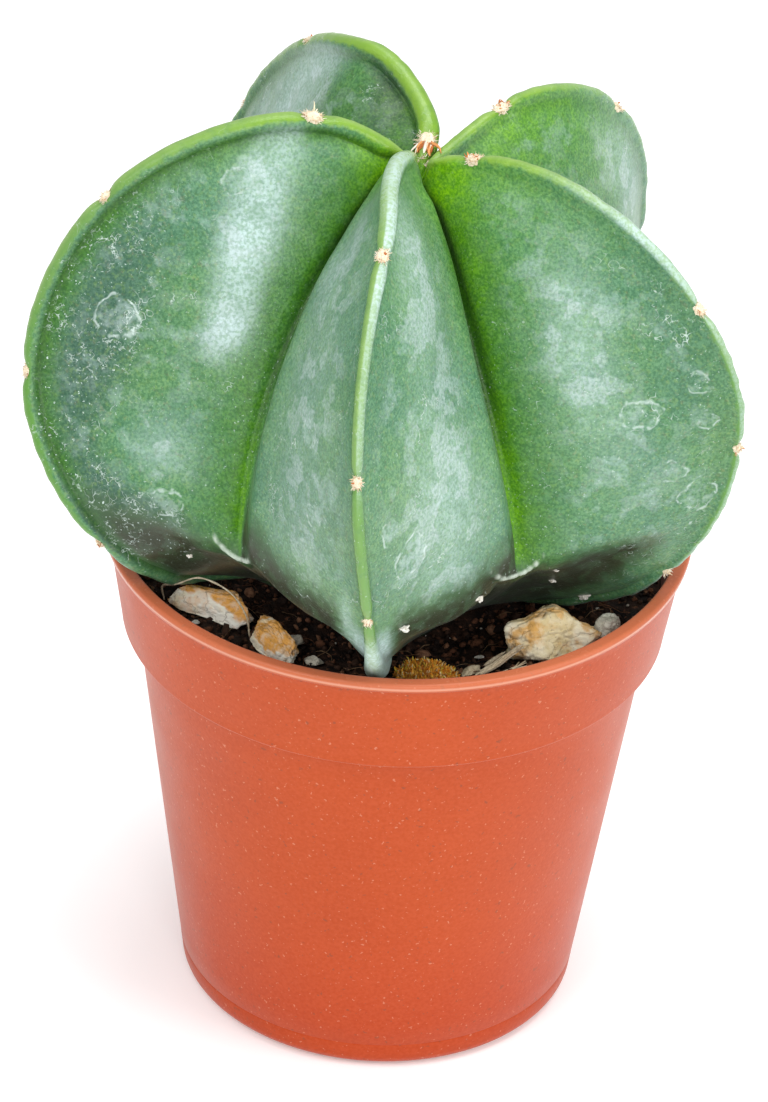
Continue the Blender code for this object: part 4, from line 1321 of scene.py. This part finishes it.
def make_stone_material(name, body, pale, stain, cap=0.0):
    """cap is how strongly the stain covers the stone's top."""
    material, tree, shader = new_material(name, Specular_IOR_Level=0.3)
    colour = blend(tree, blotches(tree, 7, 0.5, 0.05, 3.0), body, pale)
    stained = product(tree, blotches(tree, 3.4, 0.42, 0.06, 5.0, 4.0), 0.85)
    if cap:
        height = height_of(tree)
        ragged = ramp(tree, blotches(tree, 3.8, detail=3.0, output="Relief"), 0.3, 0.7, -1.3 * MM, 1.3 * MM)
        top = ramp(tree, calc(tree, "ADD", height, ragged), CAP_Z[0] * MM, CAP_Z[1] * MM, 0.0, cap)
        stained = calc(tree, "MAXIMUM", product(tree, stained, 0.5), top)
    colour = blend(tree, stained, colour, stain)
    colour = blend(tree, product(tree, blotches(tree, 0.8, 0.4, 0.1, 4.0, 6.0), 0.35), colour, pale)
    cracks = threads(tree, 3.6, 0.03, 0.9)
    cracks = product(tree, cracks, blotches(tree, 3.0, 0.45, 0.1, 2.0, 9.0))
    colour = blend(tree, product(tree, cracks, 0.35), colour, (0.16, 0.08, 0.035))
    pits = blotches(tree, 0.38, 0.13, 0.05, 3.0, 11.0)
    colour = blend(tree, product(tree, pits, 0.4), colour, (0.2, 0.13, 0.07))
    tree.links.new(colour, shader.inputs["Base Color"])
    rough = ramp(tree, blotches(tree, 1.2, 0.5, 0.2), 0.0, 1.0, 0.78, 0.95)
    tree.links.new(rough, shader.inputs["Roughness"])
    coarse = relief(tree, shader, blotches(tree, 0.8, detail=6.0, output="Relief"), 0.18)
    relief(tree, shader, cracks, -0.06, coarse)
    return material


ochre_stone = make_stone_material("ochre_stone", (0.68, 0.55, 0.3), (0.88, 0.8, 0.6),
                                  (0.66, 0.34, 0.07))
amber_stone = make_stone_material("amber_stone", (0.95, 0.84, 0.58), (0.98, 0.95, 0.84),
                                  (0.82, 0.38, 0.055), cap=0.95)
grey_stone = make_stone_material("grey_stone", (0.6, 0.56, 0.46), (0.85, 0.81, 0.7),
                                 (0.26, 0.22, 0.16))
for name, spec in STONES.items():
    stone = lump_piece(name.replace("stone", "grit"), spec, STONE_ROUGH, 6, broken)
    if name in AMBER:
        fit(stone, "ochre_stone", amber_stone, name)
    elif name in OCHRE:
        fit(stone, "ochre_stone", ochre_stone, name)
    else:
        fit(stone, "grey_stone", grey_stone, name)


# ---------------------------------------------------------------------------------------
# Perlite and husk. White crumbs of expanded perlite from the mix, full of tiny pits, some of
# them stuck to the skin low down, and one dry papery husk with a lengthwise rib.
PERLITE = {
    "perlite_front": (14.6, -22.2, 1.1, 0.8, 0.9, 0, 31),
    "perlite_left": (-21.3, -14.9, 0.8, 0.7, 0.7, 0, 32),
    "perlite_mid": (9.6, -16.4, 0.9, 0.7, 0.7, 0, 33),
    "perlite_back": (-6.8, 24.6, 1.2, 0.9, 0.9, 0, 34),
}
# crumbs stuck to the skin: (rib, side, place along the outline, share of the way from crest to
# crease, size in mm)
STUCK = (("front", 1, 2.42, 0.2, 0.6), ("front", 1, 2.46, 0.68, 0.42), ("right", -1, 2.74, 0.1, 0.55),
         ("right", -1, 2.66, 0.55, 0.3), ("right", -1, 2.57, 0.66, 0.25), ("left", 1, 2.56, 0.45, 0.3))
HUSK = (8.7, -20.7, 2.6, 1.5, 1.3, 50, 35)


def puffed(p, seed):
    """The blistered surface of a perlite crumb."""
    cells = noise.voronoi(p * 3.2 + Vector((seed, 0, 0)))[0]
    return 0.2 * (cells[0] - 0.3) + 0.08 * noise.noise(p * 9)


def ribbed(p, seed):
    """A husk's lengthwise rib and wrinkles."""
    wrinkles = noise.noise(Vector((p.x * 2, p.y * 12, seed)))
    return 0.12 * hump(p.y, 0.0, 0.18) - 0.1 * hump(abs(p.y), 0.38, 0.14) + 0.07 * wrinkles


def make_perlite_material():
    material, tree, shader = new_material("perlite", Specular_IOR_Level=0.3)
    colour = blend(tree, blotches(tree, 0.4, 0.5, 0.15, 4.0), (0.86, 0.84, 0.78), (0.62, 0.58, 0.5))
    colour = blend(tree, product(tree, blotches(tree, 0.18, 0.25, 0.06), 0.5), colour, (0.35, 0.3, 0.24))
    tree.links.new(colour, shader.inputs["Base Color"])
    shader.inputs["Roughness"].default_value = 0.9
    relief(tree, shader, blotches(tree, 0.16, detail=4.0, output="Relief"), 0.1)
    return material


def make_straw_material(name, pale, dark):
    material, tree, shader = new_material(name, Roughness=0.7, Specular_IOR_Level=0.3)
    colour = blend(tree, blotches(tree, 0.9, 0.5, 0.15, 5.0), pale, dark)
    colour = blend(tree, 0.4, colour, own_tint(tree))
    grain = blotches(tree, 0.2, 0.4, 0.1, 4.0, 3.0)
    colour = blend(tree, product(tree, grain, 0.45), colour, (0.2, 0.13, 0.07))
    tree.links.new(colour, shader.inputs["Base Color"])
    relief(tree, shader, blotches(tree, 0.22, detail=4.0, output="Relief"), 0.06)
    return material


perlite = make_perlite_material()
for name, spec in PERLITE.items():
    fit(lump_piece(name + "_crumb", spec, CRUMB_ROUGH, 5, puffed), "perlite", perlite, name)


def add_lump(bm, centre, sizes, rough, seed, colour, detail=1):
    """A rough grain in mm, with its own colour."""
    made = bmesh.ops.create_icosphere(bm, subdivisions=detail, radius=1.0)
    turn = Matrix.Rotation(seed * 2.4, 3, "Z") @ Matrix.Rotation(seed * 1.7, 3, "X")
    for v in made["verts"]:
        p = v.co.normalized()
        p *= 1 + rough * noise.noise(p * 1.6 + Vector((seed, 0, 0)))
        v.co = (Vector(centre) + turn @ Vector([a * b for a, b in zip(p, sizes)])) * MM
    faces = {f for v in made["verts"] for f in v.link_faces}
    paint(bm, faces, colour)


def make_stuck_crumbs():
    """White crumbs that stick to the skin low down."""
    places = np.empty(len(cactus.data.vertices) * 3)
    cactus.data.vertices.foreach_get("co", places)
    places = places.reshape(-1, 3)
    bm = bmesh.new()
    for i, (name, side, t, share, size) in enumerate(STUCK):
        spot = np.array(flank_spot(name, side, t, share)) * MM
        skin = cactus.data.vertices[int(np.argmin(((places - spot) ** 2).sum(axis=1)))]
        centre = skin.co / MM + skin.normal * 0.12
        add_lump(bm, centre, (size, 0.7 * size, 0.5 * size), 0.9, i * 1.3, (0.85, 0.84, 0.8), 4)
    return new_piece("stuck_crumbs", bm)


fit(make_stuck_crumbs(), "perlite", perlite)
straw_stuff = make_straw_material("straw", (0.62, 0.52, 0.36), (0.42, 0.3, 0.18))
husk = lump_piece("dry_husk", HUSK, CRUMB_ROUGH, 5, ribbed)
husk_bm = bmesh.new()
husk_bm.from_mesh(husk.data)
paint(husk_bm, husk_bm.faces, (0.72, 0.62, 0.42))
husk_bm.to_mesh(husk.data)
husk_bm.free()
fit(husk, "straw", straw_stuff, "husk")


# ---------------------------------------------------------------------------------------
# Moss. A low clump of dried moss by the front rib, orange to yellow-brown: a lumpy pad
# thick with little upright leafy shoots.
MOSS = (4.0, -21.6, 6.4, 4.2, 2.2, -3, 36)
SHOOTS = 620
MOSS_TINTS = ((0.86, 0.33, 0.03), (0.92, 0.55, 0.08), (0.7, 0.52, 0.07), (0.5, 0.19, 0.035),
              (0.9, 0.76, 0.4))


def matted(p, seed):
    """The moss pad's lumpy top."""
    return 0.12 * noise.noise(p * 4 + Vector((0, 0, seed))) + 0.05 * noise.noise(p * 10)


def make_moss():
    """The pad with its shoots rooted on it."""
    chance = random.Random(36)
    pad = lump_piece("moss_pad", MOSS, CRUMB_ROUGH, 5, matted)
    bm = bmesh.new()
    bm.from_mesh(pad.data)
    bm.normal_update()
    tops = [v.co / MM for v in bm.verts if v.normal.z > 0.1]
    normals = [v.normal.copy() for v in bm.verts if v.normal.z > 0.1]
    paint(bm, bm.faces, (0.5, 0.24, 0.04))
    for _ in range(SHOOTS):
        i = chance.randrange(len(tops))
        lean = Vector((chance.uniform(-0.7, 0.7), chance.uniform(-0.7, 0.7), 0.5))
        aim = (normals[i] * 0.6 + lean).normalized()
        length = chance.uniform(0.3, 0.85)
        points = bent_hair(chance, tops[i] - normals[i] * 0.1, aim, length, 0.1, 0.25)
        thick = chance.uniform(0.05, 0.11)
        colour = chance.choices(MOSS_TINTS, (4, 4, 2, 3, 2))[0]
        add_strand(bm, points, [thick, thick * 1.3, thick, thick * 0.8, 0.02], colour, sides=5)
    bm.to_mesh(pad.data)
    bm.free()
    return pad


def make_moss_material():
    material, tree, shader = new_material("moss", Roughness=0.9, Specular_IOR_Level=0.15)
    shade = product(tree, blotches(tree, 0.5, 0.4, 0.1, 3.0), 0.5)
    colour = blend(tree, shade, own_tint(tree), (0.66, 0.3, 0.05))
    tree.links.new(colour, shader.inputs["Base Color"])
    relief(tree, shader, blotches(tree, 0.2, detail=3.0, output="Relief"), 0.06)
    return material


fit(make_moss(), "moss", make_moss_material(), "moss_clump")


# ---------------------------------------------------------------------------------------
# Straw and root. Split bits of pale straw that lie against the big stone, and a dry root
# fibre that arches over the left one. Each straw is a bundle of fibres.
# (points as x, y and height above the peat; radius)
STRAWS = {
    "straw_long": (((9.3, -22.6, 0.4), (11.2, -20.9, 0.7), (12.6, -19.9, 1.5), (14.4, -19.2, 2.5)), 0.5),
    "straw_short": (((10.2, -20.3, 0.4), (11.0, -19.3, 0.7), (12.2, -18.2, 1.2)), 0.4),
    "straw_thin": (((11.0, -22.7, 0.4), (12.7, -21.5, 0.5), (14.4, -20.5, 0.9)), 0.32),
}
ROOT = ((-25.0, -10.8, 0.4), (-25.2, -11.4, 2.6), (-23.6, -13.8, 4.5), (-21.0, -15.0, 6.2),
        (-17.8, -16.4, 5.8), (-15.9, -17.0, 3.6), (-15.4, -16.6, 0.6))
ROOT_R = 0.16


def smooth_route(points, radius, steps):
    """A smooth path through points given as x, y and height above the peat."""
    knots = [Vector((x, y, soil_level(x, y) + lift + radius)) for x, y, lift in points]
    knots = [knots[0] * 2 - knots[1]] + knots + [knots[-1] * 2 - knots[-2]]
    path = []
    for a, b, c, d in zip(knots, knots[1:], knots[2:], knots[3:]):
        for i in range(steps):
            s = i / steps
            path.append(0.5 * ((2 * b) + (c - a) * s + (2 * a - 5 * b + 4 * c - d) * s * s
                               + (3 * b - a - 3 * c + d) * s ** 3))
    return path + [knots[-2]]


def make_straw(name, points, radius, seed):
    """A split straw: fibres side by side, some coming away at the ends."""
    chance = random.Random(seed)
    path = smooth_route(points, radius, 8)
    bm = bmesh.new()
    last = len(path) - 1
    for j in range(7):
        a = 2 * math.pi * j / 6
        off = Vector((math.cos(a), math.sin(a) * 0.7, 0.0)) * radius * (0.0 if j == 6 else 0.62)
        stray = Vector((chance.uniform(-1, 1), chance.uniform(-1, 1), chance.uniform(0, 0.6))) * 0.35
        first = chance.randrange(0, 3)
        strand = []
        for k in range(first, last + 1 - chance.randrange(0, 3)):
            s = k / last
            rotated = Vector((off.x, off.y * math.cos(s * 2), abs(off.y) * 0.9))
            strand.append(path[k] + rotated + stray * ease(s, 0.6, 1.0) ** 2)
        thick = radius * chance.uniform(0.26, 0.4)
        count = len(strand) - 1
        radii = [thick * (1 - 0.55 * abs(2 * k / count - 1) ** 3) for k in range(count + 1)]
        colour = chance.choice(((0.66, 0.56, 0.4), (0.56, 0.45, 0.3), (0.72, 0.65, 0.5)))
        add_strand(bm, strand, radii, colour, sides=6, flat=0.7)
    return new_piece(name.replace("straw", "split_straw"), bm)


for seed, (name, (points, radius)) in enumerate(STRAWS.items()):
    fit(make_straw(name, points, radius, seed + 40), "straw", straw_stuff, name)
root_path = smooth_route(ROOT, ROOT_R, 14)
root_bm = bmesh.new()
root_radii = [ROOT_R * (0.62 + 0.3 * noise.noise(p * 1.3)) for p in root_path]
add_strand(root_bm, root_path, root_radii, (0.7, 0.62, 0.46), sides=8)
root_stuff = make_straw_material("dry_root", (0.7, 0.62, 0.46), (0.5, 0.4, 0.26))
fit(new_piece("dry_root", root_bm), "straw", root_stuff, "root_fibre")


# ---------------------------------------------------------------------------------------
# Litter. Crumbs, short reddish fibres and white grains of the mix that lie loose on the
# peat, wherever the plant leaves room for them.
CRUMBS = 2600
FIBRES = 260
CRUMB_BAND = (11.0, 29.0)          # radii that they lie between
FIBRE_BAND = (14.0, 28.6)


def make_litter():
    """Crumbs, fibres and white grains that lie loose on the peat."""
    chance = random.Random(11)
    near, far = CRUMB_BAND
    bm = bmesh.new()
    shades = ((0.02, 0.011, 0.008), (0.07, 0.034, 0.02), (0.2, 0.085, 0.045), (0.36, 0.18, 0.1))
    for i in range(CRUMBS):
        r = math.sqrt(chance.uniform(near ** 2, far ** 2))
        a = chance.uniform(0, 2 * math.pi)
        x, y = r * math.cos(a), r * math.sin(a)
        size = chance.uniform(0.14, 0.42) * (2.0 if chance.random() < 0.1 else 1.0)
        z = soil_level(x, y) + soil_crust(x, y) + size * 0.3
        colour = chance.choices(shades, (6, 6, 5, 2))[0]
        if chance.random() < 0.035:
            size, colour = chance.uniform(0.08, 0.2), (0.75, 0.72, 0.64)
        sizes = (size * chance.uniform(0.8, 1.5), size, size * chance.uniform(0.6, 1.0))
        add_lump(bm, (x, y, z), sizes, 0.5, i * 0.37, colour)
    for i in range(FIBRES):
        r = chance.uniform(*FIBRE_BAND)
        a = chance.uniform(0, 2 * math.pi)
        turn = chance.uniform(0, 2 * math.pi)
        length = chance.uniform(1.5, 4.5)
        curl = chance.uniform(-0.9, 0.9)
        points = []
        for k in range(7):
            along = length * (k / 6 - 0.5)
            x = r * math.cos(a) + along * math.cos(turn + curl * k / 6)
            y = r * math.sin(a) + along * math.sin(turn + curl * k / 6)
            reach = math.hypot(x, y)
            if reach > far:
                x, y = x * far / reach, y * far / reach
            lift = 0.25 + 0.5 * math.sin(math.pi * k / 6) * chance.uniform(0.4, 1.0)
            points.append((x, y, soil_level(x, y) + soil_crust(x, y) + lift))
        thick = chance.uniform(0.035, 0.08)
        colour = chance.choice(((0.16, 0.07, 0.035), (0.25, 0.12, 0.06), (0.34, 0.22, 0.12)))
        add_strand(bm, points, [thick * (1 - 0.6 * k / 6) for k in range(7)], colour, sides=4)
    fit(new_piece("peat_litter", bm), "peat", make_peat_material("peat_litter", tint=True))


make_litter()


# ---------------------------------------------------------------------------------------
# Floor, light and camera. A pale floor under soft light from square panels at the left, in
# front, at the right and overhead, with the camera in front, looking down at the plant.
FLOOR_HALF = 3.0                   # in metres, like the other places here
FLOOR_DROP = 0.0002                # the floor lies just under the pot
FLOOR_PATCH = 40                   # size in mm of its faint shading
SKY_COLOUR = (0.97, 0.985, 1.0, 1.0)
SKY_STRENGTH = 0.62
LIT_POINT = (0, 0, 0.07)           # what the panels face
# (place, size, watts)
PANELS = {
    "panel_left": ((-0.35, -0.42, 0.6), 0.4, 1.8),
    "panel_front": ((0.1, -0.8, 0.36), 0.35, 2.0),
    "panel_right": ((0.5, -0.25, 0.35), 0.3, 1.2),
    "panel_top": ((0.1, -0.02, 0.75), 0.45, 3.0),
}
CAMERA_PLACE = (0.0, -0.6546, 0.4916)
CAMERA_TURNS = (33.725, 0.117, 2.873)   # degrees down, sideways and rolled
CAMERA_LENS = 233.1                # in mm, over a sensor this wide
SENSOR_WIDE = 36


def make_stage():
    bm = bmesh.new()
    bmesh.ops.create_grid(bm, x_segments=1, y_segments=1, size=FLOOR_HALF)
    floor = new_piece("floor", bm)
    floor.location.z = -FLOOR_DROP
    material, tree, shader = new_material("floor_paint", Roughness=0.6, Specular_IOR_Level=0.2,
                                          Emission_Color=(1, 1, 1, 1), Emission_Strength=0.14)
    shade = blotches(tree, FLOOR_PATCH, 0.5, 0.3)
    colour = blend(tree, shade, (0.955, 0.955, 0.955), (0.965, 0.965, 0.965))
    tree.links.new(colour, shader.inputs["Base Color"])
    floor.data.materials.append(material)
    world = bpy.data.worlds.new("studio")
    bpy.context.scene.world = world
    world.use_nodes = True
    sky = world.node_tree.nodes["Background"]
    sky.inputs["Color"].default_value = SKY_COLOUR
    sky.inputs["Strength"].default_value = SKY_STRENGTH
    for name, (place, size, watts) in PANELS.items():
        data = bpy.data.lights.new(name, "AREA")
        data.shape = "SQUARE"
        data.size = size
        data.energy = watts
        lamp = bpy.data.objects.new(name, data)
        lamp.location = place
        aim = Vector(LIT_POINT) - Vector(place)
        lamp.rotation_euler = aim.to_track_quat("-Z", "Y").to_euler()
        bpy.context.scene.collection.objects.link(lamp)


def make_camera():
    data = bpy.data.cameras.new("camera")
    data.lens = CAMERA_LENS
    data.sensor_width = SENSOR_WIDE
    data.clip_start = 0.01
    camera = bpy.data.objects.new("camera", data)
    down, sideways, roll = (math.radians(turn) for turn in CAMERA_TURNS)
    aim = Matrix.Rotation(sideways, 4, "Z") @ Matrix.Rotation(math.pi / 2 - down, 4, "X")
    camera.matrix_world = Matrix.Translation(CAMERA_PLACE) @ aim @ Matrix.Rotation(roll, 4, "Z")
    bpy.context.scene.collection.objects.link(camera)
    bpy.context.scene.camera = camera


make_stage()
make_camera()
bpy.context.scene.view_settings.view_transform = "Standard"
